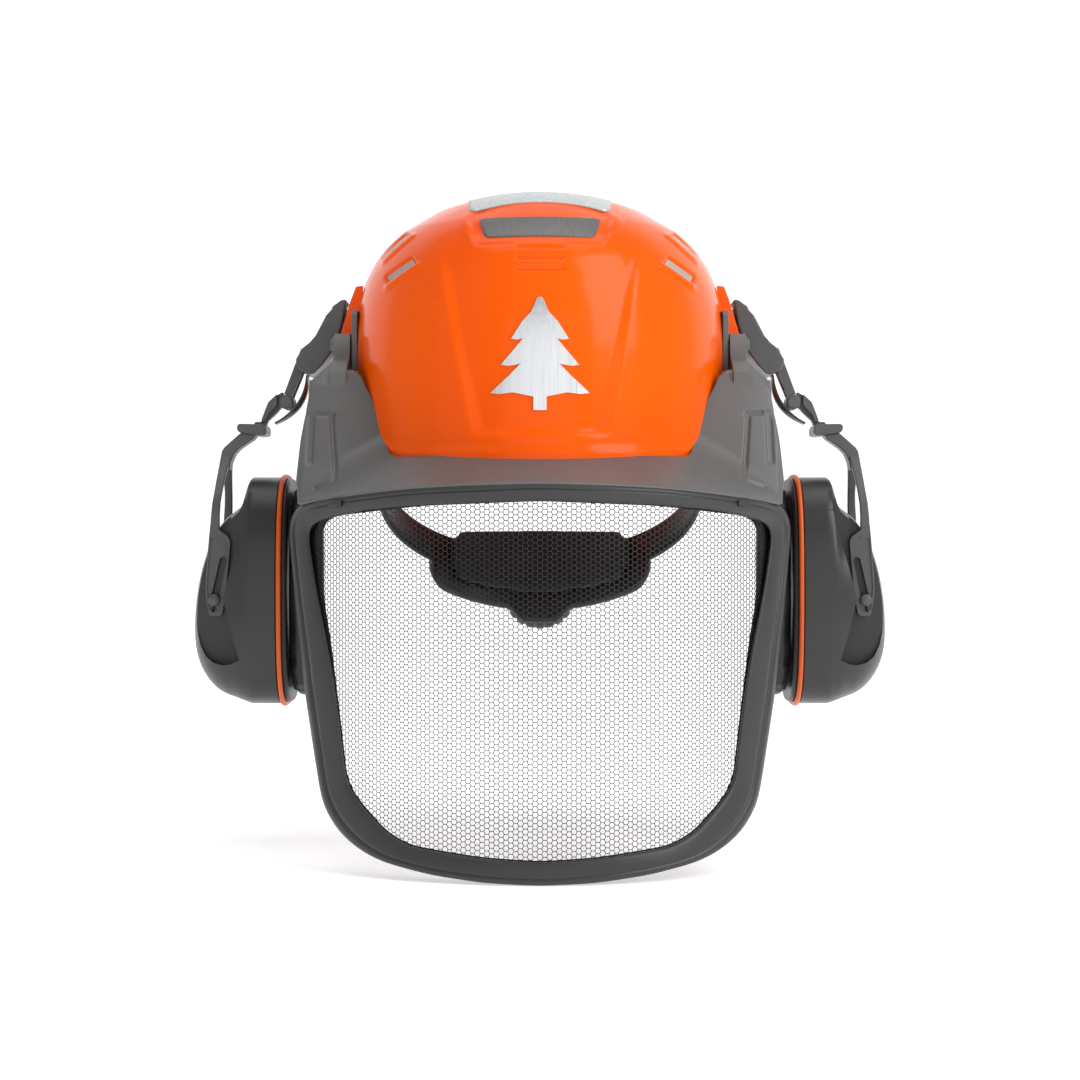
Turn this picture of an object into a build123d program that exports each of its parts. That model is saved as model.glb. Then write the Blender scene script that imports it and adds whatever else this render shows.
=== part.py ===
from build123d import *

import os
from math import asin, cos, radians, sin

# Forestry helmet: a hard shell with a tilting mesh visor, two ear muffs on folding arms and an
# adjustable nape harness. Millimetres. The wearer looks along -Y, +Z is up, and the origin is the
# centre of the head opening, level with the front brim. Parts named left_ are at +X, the wearer's
# left; each right_ part is its mirror image.

# Shell: a dome of two half-round ends and a straight run between them
SHELL_HALF_WIDTH = 104.5
SHELL_TOP = 154.5
SHELL_WALL = 2.6
SHOULDER_R = 75.0
CROWN_R = 190.0
FRONT_AXIS_Y = -21.5
REAR_AXIS_Y = 29.0
SHELL_FLOOR = -40.0
REFLECTOR_THICKNESS = 0.6
EMBLEM_THICKNESS = 0.9

# Accessory slot pockets on the shell's sides, which lean outwards at the bottom
POCKET_LEAN = 15.8
POCKET_POINT = (109.0, 10.0, 88.0)
POCKET_WALL = 2.0
TONGUE_HALF_WIDTH = 14.0

# Visor: one vertical cylinder carries the frame, the mesh and the brow's front lip
VISOR_AXIS_Y = -2.0
FRAME_OUTER_R = 153.0
FRAME_INNER_R = 148.5
MESH_INNER_R = 147.3
RETAINER_INNER_R = 144.0
PIVOT_Y = -25.0
PIVOT_Z = 68.0
PIVOT_R = 2.8
RUNNING_GAP = 0.05
LUG_INNER_X = 108.8
LUG_OUTER_X = 114.5

# Suspension
BAND_HALF_WIDTH = 86.0
BAND_HALF_LENGTH = 103.0
BAND_THICKNESS = 2.0
NAPE_TILT = 31.0
NAPE_HALF_WIDTH = 94.0
NAPE_HALF_LENGTH = 114.0
NAPE_STRAP = 2.2
NAPE_HEIGHT = 21.0
KNOB_R = 22.0
KNOB_DROP = -12.0
KNOB_GROOVES = 16

# Ear muffs
HINGE_X = 144.8
HINGE_Z = 37.8
HINGE_R = 2.2
EAR_R = 4.2
CUP_Y = 6.0
CUP_Z = -69.5
CUP_HEIGHT = 129.0
CUP_DEPTH = 90.0
CUP_WALL = 2.5
PLATE_OFFSET = 25.0
PLATE_THICKNESS = 3.0
CHANNEL_OFFSET = 23.3
SLIDER_X = 182.5
SLIDER_Z = -74.6
SLIDER_R = 2.2
SLOT_LENGTH = 18.5
SLOT_LEAN = 12.1
RING_X = 143.5
RING_WIDTH = 2.6
BACK_PLATE = 2.5
CUSHION_X = 125.0

parts = {}


def prism(points, plane, length):
    """A closed outline of points in the plane's own coordinates, extruded along its normal."""
    face = make_face(plane * Polyline(*points, close=True))
    return extrude(face, length, dir=plane.z_dir)


def prism_x(points, low, high):
    """Outline of (y, z) points, extruded from x = low to x = high."""
    return prism(points, Plane(origin=(low, 0, 0), x_dir=(0, 1, 0), z_dir=(1, 0, 0)), high - low)


def prism_y(points, low, high):
    """Outline of (x, z) points, extruded from y = low to y = high."""
    return prism(points, Plane(origin=(0, high, 0), x_dir=(1, 0, 0), z_dir=(0, -1, 0)), high - low)


def prism_z(points, low, high):
    """Outline of (x, y) points, extruded from z = low to z = high."""
    return prism(points, Plane.XY.offset(low), high - low)


def block(x, y, z):
    """A box from three (low, high) pairs."""
    size = [pair[1] - pair[0] for pair in (x, y, z)]
    middle = [(pair[1] + pair[0]) / 2 for pair in (x, y, z)]
    return Pos(*middle) * Box(*size)


def rod_x(radius, low, high, y, z):
    """A round rod along X."""
    return Pos((low + high) / 2, y, z) * Rot(0, 90, 0) * Cylinder(radius, high - low)


def rod_y(radius, low, high, x, z):
    """A round rod along Y."""
    return Pos(x, (low + high) / 2, z) * Rot(90, 0, 0) * Cylinder(radius, high - low)


def tube(inner, outer, low, high, centre_y=0.0):
    """A round tube about a vertical axis."""
    ring = Cylinder(outer, high - low) - Cylinder(inner, high - low)
    return Pos(0, centre_y, (low + high) / 2) * ring


def both_sides(name, shape):
    """Keeps a part built at +X as left_name and its mirror image as right_name."""
    parts["left_" + name] = shape
    parts["right_" + name] = mirror(shape, about=Plane.YZ)


# ---------------------------------------------------------------- helmet shell


def dome_profile(grow):
    """Half of the shell's cross-section: an upright side, a shoulder arc and a crown arc."""
    side = SHELL_HALF_WIDTH + grow
    shoulder = SHOULDER_R + grow
    crown = CROWN_R + grow
    shoulder_x = SHELL_HALF_WIDTH - SHOULDER_R
    crown_z = SHELL_TOP - CROWN_R
    reach = CROWN_R - SHOULDER_R
    shoulder_z = crown_z + (reach**2 - shoulder_x**2) ** 0.5
    meet = asin(shoulder_x / reach)
    middle = (radians(90) - meet) / 2
    join = (crown * sin(meet), crown_z + crown * cos(meet))
    half_way = (shoulder_x + shoulder * cos(middle), shoulder_z + shoulder * sin(middle))
    near_top = (crown * sin(meet / 2), crown_z + crown * cos(meet / 2))
    base = Polyline((0, SHELL_FLOOR), (side, SHELL_FLOOR), (side, shoulder_z))
    lower_arc = ThreePointArc((side, shoulder_z), half_way, join)
    upper_arc = ThreePointArc(join, near_top, (0, SHELL_TOP + grow))
    axis = Line((0, SHELL_TOP + grow), (0, SHELL_FLOOR))
    return make_face(Plane.XZ * (base + lower_arc + upper_arc + axis))


def stretched(profile):
    """A half-section turned about two upright axes, with a straight run between them."""
    rear = Pos(0, REAR_AXIS_Y, 0) * revolve(profile, Axis.Z, 180)
    front = Pos(0, FRONT_AXIS_Y, 0) * Rot(0, 0, 180) * revolve(profile, Axis.Z, 180)
    whole = profile + mirror(profile, about=Plane.YZ)
    run = Pos(0, FRONT_AXIS_Y, 0) * extrude(whole, REAR_AXIS_Y - FRONT_AXIS_Y, dir=(0, 1, 0))
    return front + run + rear


def dome(grow):
    """The shell's outer form as one closed body, grown outwards by grow, down to the floor."""
    return stretched(dome_profile(grow))


def dome_skin(inner_grow, outer_grow):
    """The layer between two grown forms of the dome."""
    return stretched(dome_profile(outer_grow) - dome_profile(inner_grow))


def above_rim():
    """Everything above the rim line: level at the brim, arched over the ears, low at the nape."""
    rim = [(-150, 0), (-85, 1), (-42, 20), (42, 22), (85, 2), (150, -17), (150, 170), (-150, 170)]
    return prism_x(rim, -150, 150)


def front_y(x, z):
    """Y of the shell's front surface at height z, above the shoulder line."""
    shoulder_x = SHELL_HALF_WIDTH - SHOULDER_R
    crown_z = SHELL_TOP - CROWN_R
    shoulder_z = crown_z + ((CROWN_R - SHOULDER_R) ** 2 - shoulder_x**2) ** 0.5
    rise = max(z - shoulder_z, 0)
    radius = shoulder_x + (SHOULDER_R**2 - rise**2) ** 0.5
    return FRONT_AXIS_Y - (radius**2 - x**2) ** 0.5


def pocket_plane():
    """Outer face of the left slot pocket: x along Y, y up the face, z outwards."""
    lean = radians(POCKET_LEAN)
    return Plane(origin=POCKET_POINT, x_dir=(0, 1, 0), z_dir=(cos(lean), 0, sin(lean)))


def pocket_box(half_width, low, high, deep, shallow):
    """A box in the pocket's plane: along the face from low to high, at depths below it."""
    box = Pos(0, (low + high) / 2, -(deep + shallow) / 2)
    return pocket_plane() * box * Box(2 * half_width, high - low, deep - shallow)


def swivel_rod(radius, low, high):
    """A rod along the arm's swivel axis, square to the pocket's face."""
    return pocket_plane() * Pos(0, 0, (low + high) / 2) * Cylinder(radius, high - low)


def vent_box(x, z, length, width, low, high, angle):
    """A slot box at a point on the front of the shell, with its length across and upwards."""
    step = 1.0
    here = Vector(x, front_y(x, z), z)
    across = Vector(x + step, front_y(x + step, z), z) - here
    rise = Vector(x, front_y(x, z + step), z + step) - here
    normal = across.cross(rise).normalized()
    plane = Plane(origin=here, x_dir=across, z_dir=normal)
    return plane * Rot(0, 0, angle) * Pos(0, 0, (low + high) / 2) * Box(length, width, high - low)


def side_vents(low, high, shrink):
    """The two front side vent slots, cut or filled between two depths."""
    left = vent_box(75, 103, 17 - shrink, 4 - shrink, low, high, -26)
    return [left, mirror(left, about=Plane.YZ)]


def helmet():
    wall = dome_skin(-SHELL_WALL, 0)
    shell = wall & above_rim()
    pocket = pocket_box(18, -16, 15, 9, 0) - dome(-SHELL_WALL / 2)
    cavity = pocket_box(TONGUE_HALF_WIDTH + 0.1, -17, 12, 5.8, POCKET_WALL)
    window = swivel_rod(5.5, -POCKET_WALL - 1, 1)
    for side in (pocket, mirror(pocket, about=Plane.YZ)):
        shell = shell + side
    for cut in (cavity, window):
        shell = shell - cut - mirror(cut, about=Plane.YZ)
    for vent in side_vents(-6, 6, 0):
        shell = shell - vent
    for row in range(3):
        groove_z = 113 - 6 * row
        shell = shell - vent_box(0, groove_z, 24.6, 3, -1.2, 4, 0)
    parts["helmet_shell"] = shell

    film = dome_skin(0, REFLECTOR_THICKNESS)
    crown_plan = [(-37, -78), (37, -78), (42, -20), (37, 60), (-37, 60), (-42, -20)]
    parts["crown_reflector"] = film & prism_z(crown_plan, 100, 170)
    front_plan = [(-32, -95), (32, -95), (28.4, -108), (-28.4, -108)]
    parts["front_reflector"] = film & prism_z(front_plan, 100, 170)
    rear_plan = [(-32, 103), (32, 103), (28.4, 116), (-28.4, 116)]
    parts["rear_reflector"] = film & prism_z(rear_plan, 100, 170)
    parts["vent_inserts"] = Compound(children=[v & wall for v in side_vents(-2.2, -0.9, 0.1)])
    parts["emblem_plate"] = dome_skin(0, EMBLEM_THICKNESS) & conifer()

    ear = block((100, 108.4), (-33, -15), (53, 93)) + block((100, 108.4), (-33, 30), (53, 66))
    tongue = pocket_box(TONGUE_HALF_WIDTH, -30, 11, 5.7, POCKET_WALL + 0.1)
    adapter = (ear + tongue) - dome(0.2) - rod_x(PIVOT_R + RUNNING_GAP, 90, 120, PIVOT_Y, PIVOT_Z)
    adapter = adapter - swivel_rod(3.05, -12, 2)
    both_sides("slot_adapter", adapter.solids().sort_by(SortBy.VOLUME)[-1])


def conifer():
    """A plain conifer outline: three tiers of boughs and a trunk, pushed through the front."""
    base_z = 26.0
    tiers = [(26, 10, 8), (21, 24, 9), (15.5, 38, 7)]
    right_side = [(3.5, 0), (3.5, 10)]
    for half_width, foot, tuck in tiers:
        right_side.append((half_width, foot))
        right_side.append((half_width - tuck - 2, foot + 14))
    right_side[-1] = (0, 59)
    left_side = [(-x, z) for x, z in reversed(right_side[:-1])]
    outline = [(x, base_z + z) for x, z in right_side + left_side]
    return prism_y(outline, -140, -60)


# ---------------------------------------------------------------- suspension


def oval_ring(half_width, half_length, thickness, low, high):
    """An upright oval band, thickness measured inwards."""
    outer = Ellipse(half_width, half_length)
    inner = Ellipse(half_width - thickness, half_length - thickness)
    return extrude(Plane.XY.offset(low) * (outer - inner), high - low)


def suspension():
    band = oval_ring(BAND_HALF_WIDTH, BAND_HALF_LENGTH, BAND_THICKNESS, 2, 30)
    band = band - block((-60, 60), (60, 120), (-10, 14))
    guide_plane = nape_plane()
    for sign in (1, -1):
        # each guide holds one end of the nape strap between two ledges
        guide = block((96.6, 98.2), (3, 12), (-12, 12))
        guide = guide + block((85.2, 98.2), (3, 12), (12, 14))
        guide = guide + block((88, 98.2), (3, 12), (-14, -12))
        placed = guide_plane * guide
        band = band + (placed if sign == 1 else mirror(placed, about=Plane.YZ))
    parts["headband"] = band
    pad = oval_ring(BAND_HALF_WIDTH - 2.3, BAND_HALF_LENGTH - 2.3, 3.0, 0, 30)
    parts["sweatband"] = pad & block((-100, 100), (-120, -10), (-5, 40))

    straps = None
    for turn in (0, 60, 120):
        reach = 88 if turn == 0 else 92
        arch = Plane.XZ * (Ellipse(reach, 104) - Ellipse(reach - 1.5, 102.5))
        ribbon = extrude(arch, 10, both=True) & block((-120, 120), (-60, 60), (6, 120))
        ribbon = Rot(0, 0, turn) * Pos(0, 0, 22) * ribbon
        straps = ribbon if straps is None else straps + ribbon
    keep_out = oval_ring(BAND_HALF_WIDTH + 30, BAND_HALF_LENGTH + 30, 60, -30, 30.3)
    parts["crown_straps"] = straps - keep_out

    clips = []
    for turn in (0, 60, 120, 180, 240, 300):
        reach = 88 if turn in (0, 180) else 92
        clip = block((reach - 5.5, reach - 1.7), (-9, 9), (30.3, 42))
        clip = clip + block((reach - 7, reach - 1.7), (-9, 9), (30.3, 33))
        clip = Rot(0, 0, turn) * clip - parts["crown_straps"] - band
        clips.append(clip.solids().sort_by(SortBy.VOLUME)[-1])
    parts["harness_clips"] = Compound(children=clips)

    anchors = []
    for sign in (1, -1):
        tab = block((86, 89), (64, 80), (-14, 24)) - rod_x(2.5, 80, 100, 72, -8)
        tab = tab - dome_skin(-SHELL_WALL, 5)
        anchors.append(tab if sign == 1 else mirror(tab, about=Plane.YZ))
    parts["chin_strap_anchors"] = Compound(children=anchors)


def nape_plane():
    """The nape ring's plane: x along X, y backwards and down, z up and back."""
    tilt = radians(NAPE_TILT)
    return Plane(origin=(0, 0, 0), x_dir=(1, 0, 0), z_dir=(0, sin(tilt), cos(tilt)))


def nape():
    plane = nape_plane()
    half = NAPE_HEIGHT / 2
    strap = oval_ring(NAPE_HALF_WIDTH, NAPE_HALF_LENGTH, NAPE_STRAP, -half, half)
    strap = strap & block((-120, 120), (-1, 140), (-20, 20))
    parts["nape_straps"] = plane * strap
    rear = block((-62, 62), (40, 140), (-40, 40))
    cover = oval_ring(NAPE_HALF_WIDTH + 6, NAPE_HALF_LENGTH + 6, 6, -22, 20) & rear
    housing = plane * cover
    parts["nape_housing"] = housing - nape_rod(9, 112, 118.2) - nape_rod(3.05, 112, 124)
    pad = oval_ring(NAPE_HALF_WIDTH - NAPE_STRAP, NAPE_HALF_LENGTH - NAPE_STRAP, 5, -20, 18)
    parts["nape_cushion"] = plane * (pad & block((-56, 56), (40, 140), (-40, 40)))
    knob = nape_rod(KNOB_R, 120.6, 132)
    for tooth in range(KNOB_GROOVES):
        spin = Pos(0, 126, KNOB_DROP) * Rot(0, 360 * tooth / KNOB_GROOVES, 0)
        knob = knob - plane * (spin * Pos(KNOB_R + 1, 0, 0) * Rot(90, 0, 0) * Cylinder(2.0, 30))
    parts["size_knob"] = knob + nape_rod(3.0, 117.5, 121)
    parts["size_pinion"] = nape_rod(6.0, 114.4, 117.5)


def nape_rod(radius, low, high):
    """A rod along the slide direction of the nape ring, at the knob's centre."""
    rod = Pos(0, (low + high) / 2, KNOB_DROP) * Rot(90, 0, 0) * Cylinder(radius, high - low)
    return nape_plane() * rod


# ---------------------------------------------------------------- visor


def visor_outline():
    """Front view of the visor frame's outer edge."""
    top = ThreePointArc((-131, -22), (0, -12.5), (131, -22))
    side = [(131, -22), (136, -32), (125.5, -120), (115, -178), (104, -194), (82, -206)]
    right = Polyline(*side)
    bottom = ThreePointArc((82, -206), (0, -215), (-82, -206))
    left = Polyline(*[(-x, z) for x, z in reversed(side)])
    return make_face(Plane.XZ * (top + right + bottom + left))


def window_outline(grow):
    """Front view of the visor's window, grown by grow."""
    g = grow
    top = ThreePointArc((-115 - g, -29 + g), (0, -21 + g), (115 + g, -29 + g))
    side = [
        (115 + g, -29 + g),
        (115 + g, -73),
        (102 + g, -165),
        (93 + g, -179 - g / 2),
        (67 + g / 2, -197.5 - g),
    ]
    right = Polyline(*side)
    bottom = ThreePointArc(side[-1], (0, -203.6 - g), (-side[-1][0], side[-1][1]))
    left = Polyline(*[(-x, z) for x, z in reversed(side)])
    return make_face(Plane.XZ * (top + right + bottom + left))


def front_sheet(face, inner, outer):
    """The part of a vertical tube that lies in front of the helmet, inside a front-view outline."""
    wall = tube(inner, outer, -240, 20, VISOR_AXIS_Y)
    return wall & extrude(face, 200, dir=(0, -1, 0))


def wing():
    """Left wing of the brow: a front plate, a side flank, and the lug that turns on the adapter."""
    front_view = [
        (81, -14), (81, 5), (86, 20), (92, 36), (94.5, 42), (97, 48), (102, 52), (113, 52),
        (118.6, 57), (128.5, 47), (128.5, -23), (100, -23),
    ]
    side_view = [(-90, -24), (-86, -24), (-52, 57), (-56, 57)]
    plate = prism_y(front_view, -110, -30) & prism_x(side_view, 70, 140)
    flank_view = [(-87.5, -22), (-60, -22), (-42, 20), (-36, 42), (-46, 48), (-57, 47)]
    flank = prism_x(flank_view, 126.5, 130.5)
    lug_view = [
        (-56, 40), (-48, 40), (-34, 44), (-16, 62), (-16, 70), (-20, 77), (-30, 77), (-34, 72),
        (-38, 57), (-56, 57),
    ]
    lug = prism_x(lug_view, LUG_INNER_X, LUG_OUTER_X)
    return plate + flank + lug


def visor():
    frame = front_sheet(visor_outline() - window_outline(0), FRAME_INNER_R, FRAME_OUTER_R)
    parts["visor_frame"] = frame
    parts["visor_mesh"] = front_sheet(window_outline(6), MESH_INNER_R, FRAME_INNER_R)
    rim = window_outline(7) - window_outline(0.5)
    parts["mesh_retainer"] = front_sheet(rim, RETAINER_INNER_R, MESH_INNER_R)

    # the brow's section: a sloping roof from the shell to the frame, with a lip turned down
    corners = [(151, -12.6), (110, 9.0), (110, 5.0), (148, -15.6), (148, -28), (151, -28)]
    section = Polyline(*corners, close=True)
    skin = Pos(0, VISOR_AXIS_Y, 0) * revolve(make_face(Plane.XZ * section), Axis.Z)
    skin = skin & block((-129, 129), (-200, -62), (-30, 20))
    left_wing = wing()
    brow = skin + left_wing + mirror(left_wing, about=Plane.YZ)
    frame_zone = front_sheet(visor_outline(), RETAINER_INNER_R - 1, FRAME_OUTER_R + 2)
    brow = brow - dome(1.6) - frame_zone
    pin = rod_x(PIVOT_R, 104.6, LUG_OUTER_X + 1.5, PIVOT_Y, PIVOT_Z)
    pins = [pin, mirror(pin, about=Plane.YZ)]
    for one in pins:
        brow = brow - one
    parts["visor_brow"] = brow.solids().sort_by(SortBy.VOLUME)[-1]
    parts["visor_pivot_pins"] = Compound(children=pins)
    clip_view = Polyline((103, -27), (111, -27), (111, -18.5), (103, -18.5), close=True)
    clip = front_sheet(make_face(Plane.XZ * clip_view), FRAME_OUTER_R, FRAME_OUTER_R + 2)
    parts["visor_clips"] = Compound(children=[clip, mirror(clip, about=Plane.YZ)])


# ---------------------------------------------------------------- ear muffs


def muff_arm():
    gap = pocket_box(60, -60, 60, 20, -0.5)
    head_view = [
        (108.6, 95.5), (112.5, 94.7), (118, 90.9), (122, 85), (127.4, 74.6), (134.3, 68.3),
        (138.8, 61.1), (136.8, 55.8), (129, 52.5), (122, 58), (110, 69), (106, 80),
    ]
    head = prism_y(head_view, -8, 28) - gap
    link_view = [(130.6, 66.9), (136.2, 68.9), (146.4, 41.0), (146.0, 37.0), (142.0, 36.6), (140.8, 39.0)]
    link = prism_y(link_view, 2, 18) - rod_y(EAR_R + 0.4, 6.2, 13.8, HINGE_X, HINGE_Z)
    ears = rod_y(EAR_R, 2, 6.2, HINGE_X, HINGE_Z) + rod_y(EAR_R, 13.8, 18, HINGE_X, HINGE_Z)
    pin = rod_y(HINGE_R, 0.5, 19.5, HINGE_X, HINGE_Z)
    link = link + ears - pin
    stud = swivel_rod(3.0, -5.6, 6) + swivel_rod(5.0, 0.5, 6)
    head = head - link - stud
    both_sides("arm_head", head)
    both_sides("hinge_link", link)
    caps = rod_y(3.2, 0.5, 2, HINGE_X, HINGE_Z) + rod_y(3.2, 18, 19.5, HINGE_X, HINGE_Z)
    both_sides("hinge_pin", pin + caps)
    both_sides("swivel_stud", stud)

    top = (134.6, 53.0)
    leaf_line = ThreePointArc(top, (139.2, 34.8), (153.4, 23.6))
    leaf = Plane.XZ * make_face(offset(leaf_line, amount=0.4))
    both_sides("leaf_spring", Pos(0, 16, 0) * extrude(leaf, 12) - link - head)

    hook_view = [
        (147.8, 43.6), (155.1, 37.4), (159.1, 27.5), (163.5, 24.4), (163, 21.6), (157, 21.6),
        (155.6, 27.5), (147.0, 36.4),
    ]
    hook = prism_y(hook_view, 2, 18)
    for low, high in ((1, 6.6), (13.4, 19)):
        hook = hook - rod_y(EAR_R + 0.5, low, high, HINGE_X, HINGE_Z)
    hook = hook + rod_y(EAR_R - 0.2, 6.6, 13.4, HINGE_X, HINGE_Z)
    hook = hook - rod_y(HINGE_R + RUNNING_GAP, 0, 20, HINGE_X, HINGE_Z)
    yoke = muff_yoke()
    both_sides("swing_link", hook - yoke)
    both_sides("yoke", yoke)


def muff_yoke():
    """Crossbar, neck and fork, ending in a slotted plate in front of the cup and one behind it."""
    bar = block((158.5, 169.5), (-2, 22), (18, 24)) + rod_y(3, -2, 22, 158.5, 21)
    bar = bar + rod_y(3, -2, 22, 169.5, 21)
    neck_view = [(162.7, 18), (170.8, 19.5), (181, 10), (182.5, 0), (176.5, 0), (173.8, 9.6)]
    neck = prism_y(neck_view, CUP_Y - 6, CUP_Y + 6)
    inner = PLATE_OFFSET
    outer = PLATE_OFFSET + PLATE_THICKNESS
    rear_leg = [(4, 2), (inner, -15), (inner, -36), (outer, -36), (outer, -14), (6, 10)]
    front_leg = [(-y, z) for y, z in reversed(rear_leg)]
    leg_view = [(CUP_Y + y, z) for y, z in rear_leg + front_leg]
    slope_view = [(174.5, 8), (180.5, 8), (181.5, -8.5), (185, -37), (180.3, -37), (176.5, -8.5)]
    legs = prism_x(leg_view, 170, 190) & prism_y(slope_view, -40, 60)
    plate_view = [
        (184.6, -35.4), (179, -36), (172.6, -42.7), (175.8, -70.7), (178.7, -84.2), (187, -84.7),
        (188.2, -67.9),
    ]
    slot_low = (SLIDER_X, SLIDER_Z)
    lean = radians(SLOT_LEAN)
    slot_high = (SLIDER_X - SLOT_LENGTH * sin(lean), SLIDER_Z + SLOT_LENGTH * cos(lean))
    for low in (CUP_Y - outer, CUP_Y + inner):
        plate = prism_y(plate_view, low, low + PLATE_THICKNESS)
        half = SLIDER_R + 0.15
        side_step = (half * cos(lean), half * sin(lean))
        slot_view = [
            (slot_low[0] - side_step[0], slot_low[1] - side_step[1]),
            (slot_low[0] + side_step[0], slot_low[1] + side_step[1]),
            (slot_high[0] + side_step[0], slot_high[1] + side_step[1]),
            (slot_high[0] - side_step[0], slot_high[1] - side_step[1]),
        ]
        plate = plate - prism_y(slot_view, low - 1, low + PLATE_THICKNESS + 1)
        for end in (slot_low, slot_high):
            plate = plate - rod_y(half, low - 1, low + PLATE_THICKNESS + 1, *end)
        legs = legs + plate
    return bar + neck + legs


def cup_section(x, low, high, depth, shrink=0.0):
    """A rounded rectangle across the cup at x, from z = low to z = high."""
    height = high - low - 2 * shrink
    width = depth - 2 * shrink
    plane = Plane(origin=(x, CUP_Y, (low + high) / 2), x_dir=(0, 1, 0), z_dir=(1, 0, 0))
    return plane * RectangleRounded(width, height, 0.42 * min(width, height))


def cup_body(shrink):
    """The ear cup as one closed body: a straight band, a shoulder and a bulging outer face."""
    low = CUP_Z - CUP_HEIGHT / 2
    high = CUP_Z + CUP_HEIGHT / 2
    start = RING_X + RING_WIDTH
    stations = [
        (start, low, high, CUP_DEPTH),
        (163, low, high, CUP_DEPTH),
        (168, low + 2, high - 14, CUP_DEPTH - 4),
        (178, low + 5, high - 22, CUP_DEPTH - 12),
        (189, low + 14, high - 42, CUP_DEPTH - 30),
        (196.5, low + 28, high - 72, CUP_DEPTH - 56),
    ]
    faces = []
    for x, bottom, top, depth in stations:
        station = start if x == start else x - shrink
        faces.append(cup_section(station, bottom, top, depth, shrink))
    return loft(faces, ruled=True)


def oval_pad(grow, hole_grow, low, high):
    """A rounded frame about the ear opening, from x = low to x = high."""
    outer = cup_section(low, CUP_Z - CUP_HEIGHT / 2, CUP_Z + CUP_HEIGHT / 2, CUP_DEPTH, -grow)
    hole = cup_section(low, CUP_Z - 32, CUP_Z + 32, 42, -hole_grow)
    return extrude(outer - hole, high - low)


def ear_cup():
    plates = []
    for sign in (1, -1):
        near = CUP_Y + sign * CHANNEL_OFFSET
        far = CUP_Y + sign * 70
        span = (min(near, far), max(near, far))
        plates.append(block((165, 215), span, (-114, 40)))
    shell = cup_body(0)
    room = cup_body(CUP_WALL)
    for cut in plates:
        shell = shell - cut
    # the hollow keeps a wall behind each of the two channels
    wall_offset = CHANNEL_OFFSET - CUP_WALL
    room = room - block((162.5, 215), (CUP_Y - 70, CUP_Y - wall_offset), (-120, 40))
    room = room - block((162.5, 215), (CUP_Y + wall_offset, CUP_Y + 70), (-120, 40))
    shell = shell - room
    pins = []
    for sign in (1, -1):
        ends = sorted((CUP_Y + sign * (CHANNEL_OFFSET - CUP_WALL), CUP_Y + sign * 28.4))
        shank = rod_y(SLIDER_R, ends[0], ends[1], SLIDER_X, SLIDER_Z)
        head_ends = sorted((CUP_Y + sign * 28.3, CUP_Y + sign * 30.0))
        pins.append(shank + rod_y(3.2, head_ends[0], head_ends[1], SLIDER_X, SLIDER_Z))
    shell = shell - rod_y(SLIDER_R + RUNNING_GAP, CUP_Y - 60, CUP_Y + 60, SLIDER_X, SLIDER_Z)
    both_sides("cup_shell", shell.solids().sort_by(SortBy.VOLUME)[-1])
    both_sides("slider_pins", Compound(children=pins))
    both_sides("trim_ring", oval_pad(0.8, 20, RING_X, RING_X + RING_WIDTH))
    both_sides("back_plate", oval_pad(-0.5, 0, RING_X - BACK_PLATE, RING_X))
    both_sides("ear_cushion", oval_pad(-2.5, 0, CUSHION_X, RING_X - BACK_PLATE))
    foam = cup_section(164, CUP_Z - 40, CUP_Z + 36, 38)
    both_sides("cup_foam", extrude(foam, 12))


def main():
    helmet()
    suspension()
    nape()
    visor()
    muff_arm()
    ear_cup()
    os.makedirs("parts", exist_ok=True)
    for name, shape in parts.items():
        shape.label = name
        export_step(shape, os.path.join("parts", name + ".step"))


main()
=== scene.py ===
import math

import bmesh
import bpy
import numpy as np
from mathutils import Matrix, Vector


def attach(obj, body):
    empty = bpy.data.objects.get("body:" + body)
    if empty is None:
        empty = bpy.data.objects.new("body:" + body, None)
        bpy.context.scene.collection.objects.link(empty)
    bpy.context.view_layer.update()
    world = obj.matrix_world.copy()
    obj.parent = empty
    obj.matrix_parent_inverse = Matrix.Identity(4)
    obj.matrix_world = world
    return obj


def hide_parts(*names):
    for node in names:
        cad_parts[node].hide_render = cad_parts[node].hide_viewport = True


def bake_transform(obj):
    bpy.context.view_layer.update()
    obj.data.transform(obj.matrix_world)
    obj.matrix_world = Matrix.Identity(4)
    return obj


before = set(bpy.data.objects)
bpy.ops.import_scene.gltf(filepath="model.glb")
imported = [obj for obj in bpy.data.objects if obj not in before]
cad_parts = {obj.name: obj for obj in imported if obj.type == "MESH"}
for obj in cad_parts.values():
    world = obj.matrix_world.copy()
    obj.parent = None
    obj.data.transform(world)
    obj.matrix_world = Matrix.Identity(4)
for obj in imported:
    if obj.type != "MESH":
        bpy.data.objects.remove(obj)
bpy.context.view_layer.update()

# Forestry helmet, dressed around its CAD frame. Shapes are worked out in millimetres in the row
# frame and turned into metres by make_object.

MM = 0.001
MERGE_DISTANCE = 0.02 * MM
SIDES = (("left", 1), ("right", -1))


# ------------------------------------------------------------------ helpers


def smooth(low, high, value):
    """0 at low and before it, 1 at high and beyond it, with a smooth rise between; high may be the lower."""
    t = np.clip((value - low) / (high - low), 0.0, 1.0)
    return t * t * (3 - 2 * t)


def link_object(name, data):
    """A new object in the scene."""
    piece = bpy.data.objects.new(name, data)
    bpy.context.scene.collection.objects.link(piece)
    return piece


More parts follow.
